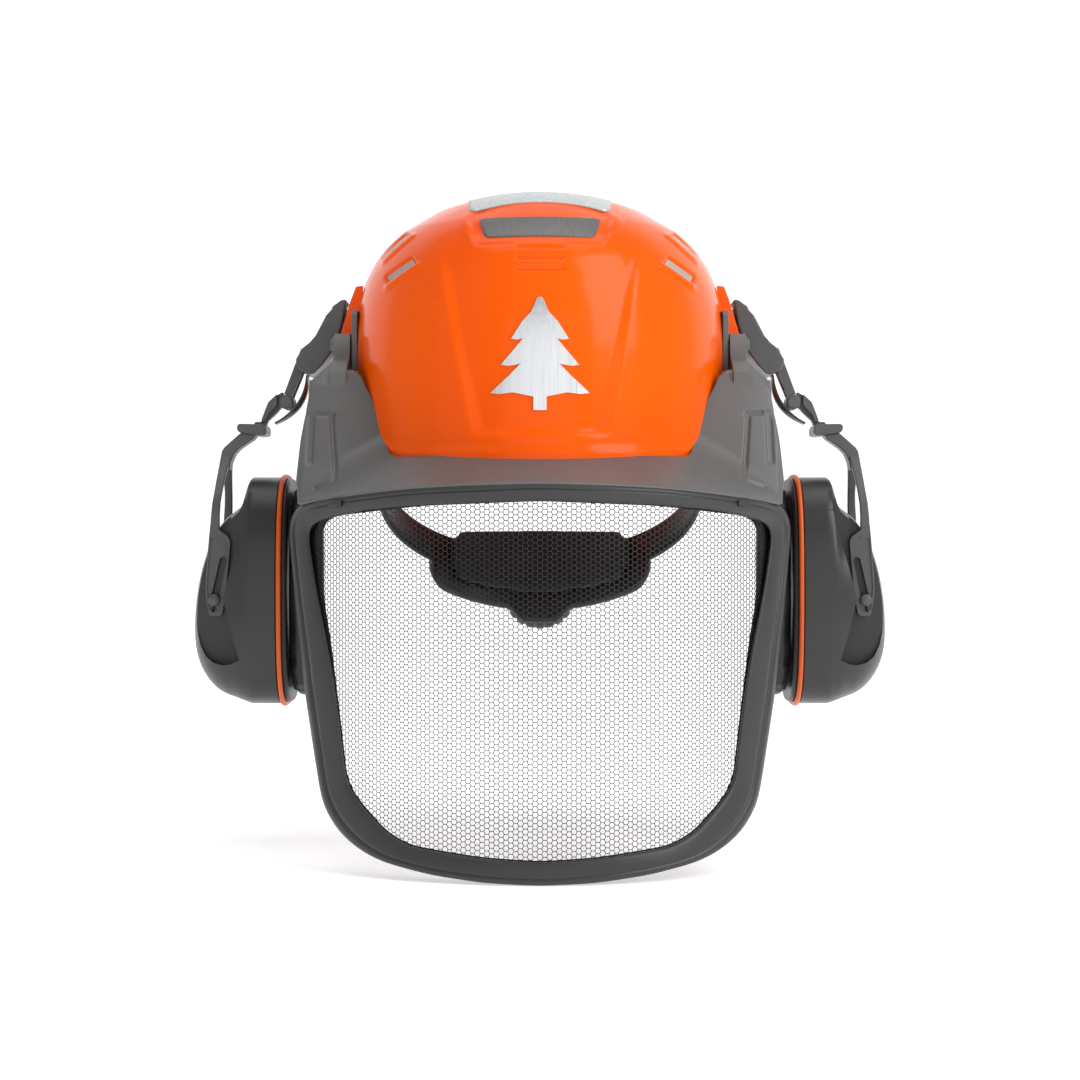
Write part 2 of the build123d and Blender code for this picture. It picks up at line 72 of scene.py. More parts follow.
def clean_mesh(name, points, faces):
    """A mesh from points in millimetres, with coinciding points merged and faces turned outwards."""
    mesh = bpy.data.meshes.new(name)
    mesh.from_pydata([tuple(float(c) * MM for c in p) for p in points], [], [tuple(f) for f in faces])
    mesh.validate()
    work = bmesh.new()
    work.from_mesh(mesh)
    bmesh.ops.remove_doubles(work, verts=work.verts, dist=MERGE_DISTANCE)
    bmesh.ops.recalc_face_normals(work, faces=work.faces)
    work.to_mesh(mesh)
    work.free()
    return mesh


def make_object(name, points, faces, material, body=None, nodes=(), flat=False):
    """A piece from points in millimetres, settled on its body if that is given."""
    mesh = clean_mesh(name, points, faces)
    if not flat:
        mesh.shade_smooth()
    mesh.materials.append(material)
    piece = link_object(name, mesh)
    if body:
        settle(piece, body, nodes)
    return piece


def settle(piece, body, nodes=()):
    """Says what a piece rides on and which CAD nodes it stands for."""
    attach(piece, body)
    if nodes:
        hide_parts(*nodes)


def grid_faces(rows, columns, close_rows=False, close_columns=False, start=0):
    """Quads over a grid of points stored row by row."""
    faces = []
    for r in range(rows if close_rows else rows - 1):
        for c in range(columns if close_columns else columns - 1):
            r2, c2 = (r + 1) % rows, (c + 1) % columns
            faces.append((start + r * columns + c, start + r * columns + c2,
                          start + r2 * columns + c2, start + r2 * columns + c))
    return faces


def apply_modifiers(piece):
    """Turns a piece's modifiers into mesh."""
    bpy.context.view_layer.update()
    graph = bpy.context.evaluated_depsgraph_get()
    mesh = bpy.data.meshes.new_from_object(piece.evaluated_get(graph))
    old = piece.data
    piece.modifiers.clear()
    piece.data = mesh
    bpy.data.meshes.remove(old)


def rounded(piece, width, segments=2, angle=35.0):
    """Rounds a piece's sharp edges, in millimetres, and shades it smooth between flat faces."""
    bevel = piece.modifiers.new("rounding", "BEVEL")
    bevel.width = width * MM
    bevel.segments = segments
    bevel.limit_method = "ANGLE"
    bevel.angle_limit = math.radians(angle)
    bevel.harden_normals = True
    apply_modifiers(piece)
    return piece


def prism_mesh(outline, plane, low, high):
    """Points and faces of an outline in the xz or yz plane, extruded along the third axis."""
    def place(a, b, c):
        return (a, c, b) if plane == "xz" else (c, a, b)

    count = len(outline)
    points = [place(a, b, low) for a, b in outline] + [place(a, b, high) for a, b in outline]
    faces = [tuple(range(count)), tuple(reversed(range(count, 2 * count)))]
    for i in range(count):
        j = (i + 1) % count
        faces.append((i, j, count + j, count + i))
    return points, faces


def join_meshes(parts):
    """One list of points and faces from several."""
    points, faces = [], []
    for more_points, more_faces in parts:
        start = len(points)
        points += list(more_points)
        faces += [tuple(start + i for i in face) for face in more_faces]
    return points, faces


def cylinder_mesh(radius, low, high, centre, axis, sides=32, edge=0.4):
    """Points and faces of a round pin along x or y, with its rims eased."""
    profile = [(0.0, low), (radius - edge, low), (radius, low + edge), (radius, high - edge),
               (radius - edge, high), (0.0, high)]
    points = []
    for r, along in profile:
        for i in range(sides):
            a = 2 * math.pi * i / sides
            u, v = r * math.cos(a), r * math.sin(a)
            if axis == "x":
                points.append((along, centre[0] + u, centre[1] + v))
            else:
                points.append((centre[0] + u, along, centre[1] + v))
    return points, grid_faces(len(profile), sides, close_columns=True)


def sided(points, side):
    """The points as they are for side 1, mirrored for side -1."""
    return [(side * x, y, z) for x, y, z in points]


def spun(points, degrees):
    """Points turned about the upright axis."""
    p = np.array(points, float)
    c, s = math.cos(math.radians(degrees)), math.sin(math.radians(degrees))
    return np.stack([p[:, 0] * c - p[:, 1] * s, p[:, 0] * s + p[:, 1] * c, p[:, 2]], axis=1)


def loft(loops):
    """Points and faces of a ring of closed loops."""
    return np.vstack(loops), grid_faces(len(loops), len(loops[0]), close_rows=True, close_columns=True)


def slab(top, bottom, rows, columns):
    """Points and faces of a closed sheet between two grids of points."""
    count = rows * columns
    faces = grid_faces(rows, columns) + [tuple(reversed(f)) for f in grid_faces(rows, columns, start=count)]
    edge = list(range(columns)) + [r * columns + columns - 1 for r in range(1, rows)]
    edge += [(rows - 1) * columns + c for c in reversed(range(columns - 1))]
    edge += [r * columns for r in reversed(range(1, rows - 1))]
    for i, a in enumerate(edge):
        b = edge[(i + 1) % len(edge)]
        faces.append((a, b, count + b, count + a))
    return np.vstack([top, bottom]), faces


def cut(piece, points, faces):
    """Takes a closed shape away from a piece."""
    cutter = link_object("cutter", clean_mesh("cutter", points, faces))
    boolean = piece.modifiers.new("cut", "BOOLEAN")
    boolean.operation = "DIFFERENCE"
    boolean.solver = "EXACT"
    boolean.object = cutter
    apply_modifiers(piece)
    bpy.data.objects.remove(cutter)


def moulding(name, parts, width, material, body, nodes=(), side=1, flat=False):
    """Joined parts with rounded edges, mirrored if side is -1, and settled on their body."""
    points, faces = join_meshes(parts)
    piece = make_object(name, sided(points, side), faces, material, flat=flat)
    rounded(piece, width)
    settle(piece, body, nodes)
    return piece


def points_of(piece):
    return np.array([v.co[:] for v in piece.data.vertices])


def move_points(piece, places):
    """Puts a piece's points at new places, in metres."""
    piece.data.vertices.foreach_set("co", places.astype(np.float32).ravel())


def resample(path, count):
    """Evenly spaced points along a closed polyline."""
    path = np.array(path, float)
    path = np.vstack([path, path[:1]])
    steps = np.r_[0, np.cumsum(np.linalg.norm(np.diff(path, axis=0), axis=1))]
    at = np.linspace(0, steps[-1], count, endpoint=False)
    return np.stack([np.interp(at, steps, path[:, i]) for i in range(path.shape[1])], axis=1)


def softened(path, rounds):
    """A closed path with its corners relaxed."""
    path = np.array(path, float)
    for _ in range(rounds):
        path = 0.5 * path + 0.25 * (np.roll(path, 1, axis=0) + np.roll(path, -1, axis=0))
    return path


# ------------------------------------------------------------------ materials


class Nodes:
    """A short way to build a material's node tree."""

    def __init__(self, name):
        self.material = bpy.data.materials.new(name)
        self.material.use_nodes = True
        self.tree = self.material.node_tree
        self.shader = self.tree.nodes["Principled BSDF"]
        self.place = self.add("ShaderNodeTexCoord").outputs["Object"]

    def add(self, kind, **values):
        node = self.tree.nodes.new(kind)
        for key, value in values.items():
            setattr(node, key, value)
        return node

    def link(self, a, b):
        self.tree.links.new(a, b)

    def noise(self, scale, detail=3.0, rough=0.55, stretch=(1, 1, 1)):
        mapping = self.add("ShaderNodeMapping")
        mapping.inputs["Scale"].default_value = stretch
        self.link(self.place, mapping.inputs["Vector"])
        node = self.add("ShaderNodeTexNoise")
        node.inputs["Scale"].default_value = scale
        node.inputs["Detail"].default_value = detail
        node.inputs["Roughness"].default_value = rough
        self.link(mapping.outputs["Vector"], node.inputs["Vector"])
        return node.outputs["Fac"]

    def cells(self, scale):
        node = self.add("ShaderNodeTexVoronoi")
        node.inputs["Scale"].default_value = scale
        self.link(self.place, node.inputs["Vector"])
        return node.outputs["Distance"]

    def wave(self, scale, direction):
        node = self.add("ShaderNodeTexWave", bands_direction=direction)
        node.inputs["Scale"].default_value = scale
        self.link(self.place, node.inputs["Vector"])
        return node.outputs["Fac"]

    def ramp(self, value, low, high, start=0.3, end=0.7):
        node = self.add("ShaderNodeMapRange")
        for key, number in (("From Min", start), ("From Max", end), ("To Min", low), ("To Max", high)):
            node.inputs[key].default_value = number
        self.link(value, node.inputs["Value"])
        return node.outputs["Result"]

    def colours(self, value, first, second, start=0.3, end=0.7):
        node = self.add("ShaderNodeValToRGB")
        node.color_ramp.elements[0].position = start
        node.color_ramp.elements[0].color = (*first, 1)
        node.color_ramp.elements[1].position = end
        node.color_ramp.elements[1].color = (*second, 1)
        self.link(value, node.inputs["Fac"])
        return node.outputs["Color"]

    def mix(self, value, first, second):
        node = self.add("ShaderNodeMix", data_type="RGBA")
        self.link(value, node.inputs["Factor"])
        self.link(first, node.inputs["A"])
        node.inputs["B"].default_value = (*second, 1)
        return node.outputs["Result"]

    def bump(self, heights):
        """Adds bump from (value, strength, distance in mm) layers."""
        normal = None
        for value, strength, distance in heights:
            node = self.add("ShaderNodeBump")
            node.inputs["Strength"].default_value = strength
            node.inputs["Distance"].default_value = distance * MM
            self.link(value, node.inputs["Height"])
            if normal:
                self.link(normal, node.inputs["Normal"])
            normal = node.outputs["Normal"]
        self.link(normal, self.shader.inputs["Normal"])

    def set(self, **values):
        for key, value in values.items():
            self.shader.inputs[key.replace("_", " ")].default_value = value

    def worn(self, colour, lighter, low=0.54, high=0.62):
        """Rubbed edges: lighter where the surface is convex."""
        geometry = self.add("ShaderNodeNewGeometry")
        mask = self.ramp(geometry.outputs["Pointiness"], 0.0, 0.6, low, high)
        return self.mix(mask, colour, lighter)


def scaled(colour, factor):
    return tuple(min(1.0, c * factor) for c in colour)


def moulded(name, base, rough, grain=0.35, tint=0.12):
    """Moulded plastic: fine grain, slow tone changes, and edges rubbed lighter."""
    m = Nodes(name)
    colour = m.colours(m.noise(14.0), scaled(base, 1 - tint), scaled(base, 1 + tint))
    m.link(m.worn(colour, scaled(base, 1.5)), m.shader.inputs["Base Color"])
    m.link(m.ramp(m.noise(45.0, 4.0), rough - 0.05, rough + 0.07), m.shader.inputs["Roughness"])
    m.bump([(m.noise(1500.0, 2.0), grain, 0.05), (m.noise(60.0), 0.06, 0.3)])
    return m.material


def shell_gloss():
    """Glossy orange ABS: faint moulding orange-peel, fine scuffs and a clear top."""
    m = Nodes("shell_orange")
    colour = m.colours(m.noise(9.0, 2.0), (0.95, 0.095, 0.0), (0.98, 0.118, 0.001))
    scuff = m.ramp(m.noise(70.0, 8.0, 0.7, (1, 1, 4)), 0.0, 0.12, 0.66, 0.72)
    m.link(m.mix(scuff, colour, (1.0, 0.42, 0.16)), m.shader.inputs["Base Color"])
    m.link(m.ramp(m.noise(25.0, 4.0), 0.15, 0.22), m.shader.inputs["Roughness"])
    m.bump([(m.noise(110.0, 2.0), 0.03, 0.25)])
    m.set(Coat_Weight=0.06, Coat_Roughness=0.04, Specular_IOR_Level=0.30, IOR=1.32)
    return m.material


def retroreflective(name, base):
    """Glass-bead film: tiny cells, a satin face and slight streaks."""
    m = Nodes(name)
    streaks = m.noise(160.0, 3.0, 0.6, (6, 1, 1))
    m.link(m.colours(streaks, scaled(base, 0.86), scaled(base, 1.1)), m.shader.inputs["Base Color"])
    m.link(m.ramp(m.noise(300.0), 0.34, 0.5), m.shader.inputs["Roughness"])
    m.bump([(m.cells(900.0), 0.3, 0.06)])
    m.set(Metallic=0.35)
    return m.material


def brushed(name, base, rough=0.3, along=(1, 1, 0.02)):
    """Brushed metal with fine upright lines."""
    m = Nodes(name)
    lines = m.noise(1400.0, 3.0, 0.6, along)
    m.link(m.colours(lines, scaled(base, 0.86), base), m.shader.inputs["Base Color"])
    m.link(m.ramp(lines, rough - 0.07, rough + 0.1), m.shader.inputs["Roughness"])
    m.bump([(lines, 0.18, 0.03)])
    m.set(Metallic=1.0)
    return m.material


def woven(name, base, threads=520.0):
    """Woven or knitted textile: crossed threads and fuzz."""
    m = Nodes(name)
    across, along = m.wave(threads, "X"), m.wave(threads, "Z")
    weave = m.add("ShaderNodeMath", operation="MAXIMUM")
    m.link(across, weave.inputs[0])
    m.link(along, weave.inputs[1])
    m.link(m.colours(m.noise(60.0, 4.0), scaled(base, 0.7), scaled(base, 1.35)), m.shader.inputs["Base Color"])
    m.link(m.ramp(m.noise(200.0), 0.8, 0.95), m.shader.inputs["Roughness"])
    m.bump([(weave.outputs["Value"], 0.5, 0.15), (m.noise(900.0, 2.0), 0.3, 0.1)])
    m.set(Sheen_Weight=0.25)
    return m.material


def vinyl(name, base):
    """Soft vinyl: small leather-like grain and creases."""
    m = Nodes(name)
    m.link(m.colours(m.noise(30.0), scaled(base, 0.8), scaled(base, 1.4)), m.shader.inputs["Base Color"])
    m.link(m.ramp(m.noise(90.0), 0.38, 0.52), m.shader.inputs["Roughness"])
    m.bump([(m.cells(420.0), 0.35, 0.12), (m.noise(35.0, 4.0), 0.12, 0.8)])
    return m.material


def foam(name, base):
    """Open-cell foam: pits and strong roughness."""
    m = Nodes(name)
    m.link(m.colours(m.cells(500.0), scaled(base, 0.35), base, 0.1, 0.5), m.shader.inputs["Base Color"])
    m.link(m.ramp(m.noise(120.0), 0.88, 1.0), m.shader.inputs["Roughness"])
    m.bump([(m.cells(500.0), 0.9, 0.6)])
    return m.material


def etched(name, base):
    """Black-lacquered etched steel of the visor mesh, with the lacquer thinner in places."""
    m = Nodes(name)
    m.link(m.colours(m.noise(22.0, 5.0), base, scaled(base, 2.0)), m.shader.inputs["Base Color"])
    m.link(m.ramp(m.noise(60.0), 0.42, 0.58), m.shader.inputs["Roughness"])
    m.bump([(m.noise(2500.0, 2.0), 0.2, 0.02)])
    m.set(Metallic=0.4)
    return m.material


MAT = {
    "shell_orange": shell_gloss(),
    "reflector_light": retroreflective("reflector_light", (0.60, 0.63, 0.62)),
    "reflector_dark": retroreflective("reflector_dark", (0.15, 0.146, 0.139)),
    "vent_grey": moulded("vent_grey", (0.40, 0.36, 0.33), 0.5, 0.5),
    "emblem_metal": brushed("emblem_metal", (0.90, 0.91, 0.92), 0.32),
    "visor_grey": moulded("visor_grey", (0.118, 0.118, 0.115), 0.40, 0.4, 0.10),
    "frame_grey": moulded("frame_grey", (0.031, 0.031, 0.0305), 0.40, 0.4, 0.10),
    "arm_grey": moulded("arm_grey", (0.080, 0.080, 0.080), 0.38, 0.4, 0.12),
    "cup_charcoal": moulded("cup_charcoal", (0.026, 0.025, 0.0245), 0.33, 0.35, 0.10),
    "ring_orange": moulded("ring_orange", (0.66, 0.095, 0.003), 0.42, 0.3, 0.08),
    "harness_black": moulded("harness_black", (0.012, 0.012, 0.012), 0.42, 0.4),
    "pad_black": woven("pad_black", (0.012, 0.012, 0.012), 700.0),
    "strap_textile": woven("strap_textile", (0.016, 0.016, 0.016)),
    "mesh_black": etched("mesh_black", (0.018, 0.018, 0.018)),
    "foam_grey": foam("foam_grey", (0.09, 0.09, 0.09)),
    "cushion_black": vinyl("cushion_black", (0.010, 0.010, 0.010)),
    "steel": brushed("steel", (0.62, 0.62, 0.63), 0.25, (0.03, 1, 1)),
    "spring_steel": brushed("spring_steel", (0.07, 0.07, 0.075), 0.22, (0.03, 1, 1)),
}

# ------------------------------------------------------------------ helmet shell

SHELL_X, SHELL_Y, SHELL_MID_Y = 106.0, 130.0, 4.0
SHOULDER_Z, DOME_RISE, DOME_POWER = 40.0, 114.5, 3.6
SHELL_WALL = 2.6
# how far the reflective films stand out of the shell, and reach into it
FILM_RISE, FILM_ROOT = 0.65, 0.6
# x, z and lean of each vent
VENT_CENTRES = ((75.5, 104.2, 0.49), (80.0, 121.5, 0.66))


def shell_scale(z):
    """How much the shell's plan has shrunk at height z."""
    t = np.clip((np.asarray(z, float) - SHOULDER_Z) / DOME_RISE, 0.0, 1.0)
    return np.sqrt(np.clip(1 - t ** DOME_POWER, 0.0, 1.0))


def shell_height(x, y):
    """Height of the dome over a point of its plan."""
    k2 = np.clip((x / SHELL_X) ** 2 + ((y - SHELL_MID_Y) / SHELL_Y) ** 2, 0.0, 1.0)
    return SHOULDER_Z + DOME_RISE * (1 - k2) ** (1 / DOME_POWER)


def shell_front(x, z):
    """Points of the smooth dome's front face at (x, z)."""
    k = shell_scale(z)
    y = SHELL_MID_Y - SHELL_Y * np.sqrt(np.clip(k ** 2 - (x / SHELL_X) ** 2, 0.0, 1.0))
    return np.stack([x, y, z], axis=1)


def shell_normals(p):
    """Outward unit normals of the smooth dome."""
    t = np.clip((p[:, 2] - SHOULDER_Z) / DOME_RISE, 0.0, 1.0)
    n = np.stack([2 * p[:, 0] / SHELL_X ** 2, 2 * (p[:, 1] - SHELL_MID_Y) / SHELL_Y ** 2,
                  DOME_POWER * t ** (DOME_POWER - 1) / DOME_RISE], axis=1)
    return n / np.linalg.norm(n, axis=1)[:, None]


def shell_relief(p):
    """How far the moulded detail stands out of the smooth dome."""
    x, y, z = np.abs(p[:, 0]), p[:, 1], p[:, 2]
    front = smooth(-20, -45, y)
    relief = np.zeros(len(p))
    # panel sunk into the forehead, fading out towards the top
    half = 38.8 + 0.168 * (z - 18.4)
    slant = np.interp(z, [18, 68], [9.9, 6.2])
    panel = smooth(0, slant, half - x) * smooth(12.0, 17.0, z) * smooth(116, 92, z)
    relief -= 2.2 * panel * front
    # three louvres
    for row in (113.0, 107.0, 101.0):
        slope = np.clip((row + 1.8 - z) / 3.0, 0, 1) * smooth(-2.1, -1.3, z - row)
        relief -= 1.6 * slope * smooth(13.4, 11.8, x) * front
    # strip over the crown that holds the reflective films, with raised shoulders
    strip_half = 40.5 - 6.5 * smooth(-78, -112, y)
    strip = smooth(0, 3.0, strip_half - x) * smooth(112, 117, z)
    rib = smooth(4.5, 1.5, np.abs(x - strip_half - 1.0)) * smooth(113, 121, z)
    relief += (-1.3 * strip + 0.5 * rib) * smooth(-66, -84, SHELL_MID_Y - np.abs(y - SHELL_MID_Y))
    # vents with a raised lip under each
    for cx, cz, lean in VENT_CENTRES:
        dx, dz = x - cx, z - cz
        along = -dx * math.cos(lean) + dz * math.sin(lean)
        rise = dx * math.sin(lean) + dz * math.cos(lean)
        hole = smooth(9.6, 8.2, np.abs(along)) * smooth(2.9, 1.9, np.abs(rise))
        lip = smooth(13.5, 9.5, np.abs(along)) * smooth(2.4, 0.6, np.abs(rise + 4.6))
        relief += (-2.0 * hole + 1.1 * lip) * front
    # rolled brim
    relief += 0.9 * smooth(8.5, 4.0, z - shell_rim(y))
    return relief


def shell_rim(y):
    """Height of the rim: level at the front, arched over the ears, low at the nape."""
    key_y = [-130, -85, -62, -42, 0, 42, 62, 85, 134]
    key_z = [0.0, 1.0, 11.0, 20.5, 22.0, 21.0, 12.5, 0.0, -13.5]
    return np.interp(y, key_y, key_z)


def shell_points(angles, heights, inward, detailed):
    """Rows of points round the dome at the given unrolled heights."""
    rows = []
    rim = shell_rim(SHELL_MID_Y + SHELL_Y * np.sin(angles))
    for height in heights:
        z = np.where(height < 60, height + rim * (1 - min(height, 60) / 60) ** 2, height)
        k = shell_scale(z)
        rows.append(np.stack([SHELL_X * k * np.cos(angles), SHELL_MID_Y + SHELL_Y * k * np.sin(angles),
                              z * np.ones_like(angles)], axis=1))
    p = np.vstack(rows)
    move = shell_relief(p) if detailed else np.zeros(len(p))
    return p + shell_normals(p) * (move - inward)[:, None]


def build_shell():
    front = np.linspace(-math.pi / 2 - 1.2, -math.pi / 2 + 1.2, 230)
    back = np.linspace(-math.pi / 2 + 1.2, 3 * math.pi / 2 - 1.2, 120)[1:-1]
    angles = np.r_[front, back]
    # rows crowd where the louvres and vents are, then close in on the crown
    sides = np.r_[np.linspace(0, 92, 70), np.linspace(93, 131, 46)]
    crown = SHOULDER_Z + DOME_RISE * (1 - np.linspace(0.58, 0.02, 42) ** 2) ** (1 / DOME_POWER)
    heights = np.r_[sides, crown[crown > 131.8]]
    outer = shell_points(angles, heights, 0.0, detailed=True)
    inner_heights = np.r_[np.linspace(0.0, 130, 26), crown[crown > 133][::4], heights[-1]]
    inner = shell_points(angles, inner_heights, SHELL_WALL, detailed=False)
    columns = len(angles)
    rim_outer, rim_inner = outer[:columns], inner[:columns]
    bead = []
    for turn in (0.25, 0.5, 0.75):
        lift = np.array([0, 0, -1.2 * math.sin(math.pi * turn)])
        bead.append(rim_inner * (1 - turn) + rim_outer * turn + lift)
    order = [inner.reshape(-1, columns, 3)[::-1].reshape(-1, 3)] + bead + [outer]
    points = np.vstack(order)
    rows = len(points) // columns
    faces = grid_faces(rows, columns, close_columns=True)
    top, under = len(points), len(points) + 1
    points = np.vstack([points, [[0, SHELL_MID_Y, SHOULDER_Z + DOME_RISE - 1.3]],
                        [[0, SHELL_MID_Y, SHOULDER_Z + DOME_RISE - SHELL_WALL]]])
    last = (rows - 1) * columns
    for c in range(columns):
        n = (c + 1) % columns
        faces.append((last + c, last + n, top))
        faces.append((n, c, under))
    make_object("shell", points, faces, MAT["shell_orange"], "helmet", ["helmet_shell"])


def film(name, outline_rows, material, nodes, over=True):
    """A thin closed sheet that follows the shell: rows of (x, y) if over, else of (x, z)."""
    flat = np.array([point for row in outline_rows for point in row], float)
    a, b = flat[:, 0], flat[:, 1]
    base = np.stack([a, b, shell_height(a, b)], axis=1) if over else shell_front(a, b)
    normal = shell_normals(base)
    relief = shell_relief(base)[:, None]
    points, faces = slab(base + normal * (relief + FILM_RISE), base + normal * (relief - FILM_ROOT),
                         len(outline_rows), len(outline_rows[0]))
    return make_object(name, points, faces, material, "helmet", nodes)


def patch_rows(width_at, start, end, rows=30, columns=40, corner=3.0):
    """Rows across a patch whose half-width changes along it, with rounded corners."""
    result = []
    for v in np.linspace(0, 1, rows):
        along = start + (end - start) * v
        near_end = min(abs(along - start), abs(along - end))
        tuck = 0.0
        if near_end < corner:
            tuck = corner - math.sqrt(max(corner ** 2 - (corner - near_end) ** 2, 0))
        half = width_at(v) - tuck
        result.append([(half * u, along) for u in np.linspace(-1, 1, columns)])
    return result


def build_films():
    crown = patch_rows(lambda v: 37.5 + 3.5 * math.sin(min(v * 2.2, math.pi / 2)), -74, 62, 60, 44)
    film("crown_film", crown, MAT["reflector_light"], ["crown_reflector"])
    front = patch_rows(lambda v: 29.2 + 3.6 * v, 118.6, 130.6, 26, 44, 2.5)
    film("front_film", front, MAT["reflector_dark"], ["front_reflector"], over=False)
    rear = [[(x, 2 * SHELL_MID_Y - y) for x, y in row] for row in
            patch_rows(lambda v: 28.4 + 3.6 * v, -109, -96, 26, 44, 2.5)]
    film("rear_film", rear, MAT["reflector_dark"], ["rear_reflector"])


def conifer_outline():
    """Outline of the plain conifer emblem, with drooping boughs."""
    half = [(3.4, 26.0), (3.4, 33)]
    for reach, foot, tuck in ((26, 35.0, 10.0), (20.5, 49.5, 7.5), (15, 63.0, 0)):
        half += [(reach * 0.55, foot + 0.2), (reach * 0.82, foot - 0.6), (reach, foot),
                 (reach * 0.86, foot + 3.4), (reach * 0.62, foot + 9.0)]
        if tuck:
            half.append((tuck, foot + 15.2))
    half += [(4.6, 77), (1.4, 84.4), (0, 85)]
    return half + [(-x, z) for x, z in reversed(half[:-1])]


def build_emblem():
    """The conifer as a brushed plate that follows the forehead."""
    mesh = bpy.data.meshes.new("emblem")
    work = bmesh.new()
    work.faces.new([work.verts.new((x, 0, z)) for x, z in conifer_outline()])
    cuts = [((x + 0.01, 0, 0), (1, 0, 0)) for x in range(-24, 25, 2)]
    cuts += [((0, 0, z + 0.03), (0, 0, 1)) for z in range(27, 84, 4)]
    for place, direction in cuts:
        geometry = work.verts[:] + work.edges[:] + work.faces[:]
        bmesh.ops.bisect_plane(work, geom=geometry, plane_co=place, plane_no=direction)
    bmesh.ops.triangulate(work, faces=work.faces)
    grown = bmesh.ops.extrude_face_region(work, geom=work.faces[:])
    back = {v for v in grown["geom"] if isinstance(v, bmesh.types.BMVert)}
    base = shell_front(np.array([v.co.x for v in work.verts]), np.array([v.co.z for v in work.verts]))
    normal = shell_normals(base)
    relief = shell_relief(base)
    for i, v in enumerate(work.verts):
        lift = relief[i] + (-0.8 if v in back else 1.0)
        v.co = Vector((base[i] + normal[i] * lift) * MM)
    bmesh.ops.recalc_face_normals(work, faces=work.faces)
    work.to_mesh(mesh)
    work.free()
    mesh.materials.append(MAT["emblem_metal"])
    piece = link_object("emblem", mesh)
    rounded(piece, 0.25, 2, 50)
    settle(piece, "helmet", ["emblem_plate"])


def build_vents():
    """Grey slotted screens at the bottom of the vents."""
    columns, rises = 23, (-2.0, 0.0, 2.0)
    along = np.tile(np.linspace(-8.3, 8.3, columns), len(rises))
    rise = np.repeat(rises, columns)
    ribs = np.tile(np.where(np.arange(columns) % 2 == 0, -1.3, -1.1), len(rises))[:, None]
    parts = []
    for cx, cz, lean in VENT_CENTRES:
        base = shell_front(cx - along * math.cos(lean) + rise * math.sin(lean),
                           cz + along * math.sin(lean) + rise * math.cos(lean))
        normal = shell_normals(base)
        points, faces = slab(base + normal * ribs, base + normal * -2.3, len(rises), columns)
        parts += [(sided(points, side), faces) for side in (1, -1)]
    points, faces = join_meshes(parts)
    make_object("vent_screens", points, faces, MAT["vent_grey"], "helmet", ["vent_inserts"], flat=True)


def build_pockets():
    """Orange slot pockets on the shell's sides, and the grey blocks plugged into them."""
    lean = math.radians(15.8)
    wedge = [(100.0, 103.0), (104.2, 102.5), (107.4, 94.0), (112.6, 76.0), (111.8, 74.0), (104.0, 72.0)]
    face = [(104.2, 102.5), (107.4, 94.0), (112.9, 75.5), (111.4, 75.1), (106.0, 93.6), (102.8, 102.0)]
    walls = [prism_mesh(wedge, "xz", -9.5, -7.5), prism_mesh(wedge, "xz", 27.5, 29.5),
             prism_mesh(face, "xz", -8.5, 28.5)]

    upright = [(-33, 53), (-7, 53), (-7, 68), (-14, 74), (-15, 84), (-18, 87), (-30, 87), (-33, 84)]
    bar = [(-9, 53), (30, 53), (30, 66), (-9, 68)]
    rib = [(-7, 56), (28, 56), (28, 58), (-7, 58)]
    tongue = [(109.0 - along * math.sin(lean) - deep * math.cos(lean),
               88.0 + along * math.cos(lean) - deep * math.sin(lean))
              for along, deep in ((-30, 5.7), (-30, 2.1), (11, 2.1), (11, 5.7))]
    blocks = [prism_mesh(upright, "yz", 101.5, 104.9), prism_mesh(bar, "yz", 102.5, 107.9),
              prism_mesh(rib, "yz", 106, 108.6), prism_mesh(tongue, "xz", -4, 24)]
    for side, s in SIDES:
        moulding(side + "_pocket", walls, 0.5, MAT["shell_orange"], "helmet", side=s)
        moulding(side + "_adapter", blocks, 0.6, MAT["visor_grey"], "helmet", [side + "_slot_adapter"], s)


# ------------------------------------------------------------------ visor

VISOR_Y = -2.0
BROW_R = 152.6
SCREEN_R = 148.0
PIVOT = (-25.0, 68.0)
WINDOW_CENTRE = np.array([0, -112.0])


def crease_z(x):
    """Front view of the brow's lower edge, where the frame begins."""
    return -12.6 - 9.4 * (np.abs(x) / 131.0) ** 2.2


def brow_top(x):
    """Front view of the upper edge of the brow and its wings."""
    key_x = [0, 76, 80, 83, 86, 91, 94.5, 97, 102, 113, 118.6, 127.4, 131.5]
    key_z = [3, 3, 5, 13, 20, 37, 42.5, 48.5, 52, 52.3, 57, 48.2, 43]
    return np.interp(np.abs(x), key_x, key_z)


def wing_edge(z):
    """Front view of the wing's outer edge."""
    return np.interp(z, [-22, -9, 14, 36, 48, 57], [130.0, 131.3, 129.6, 127.0, 127.2, 127.0])


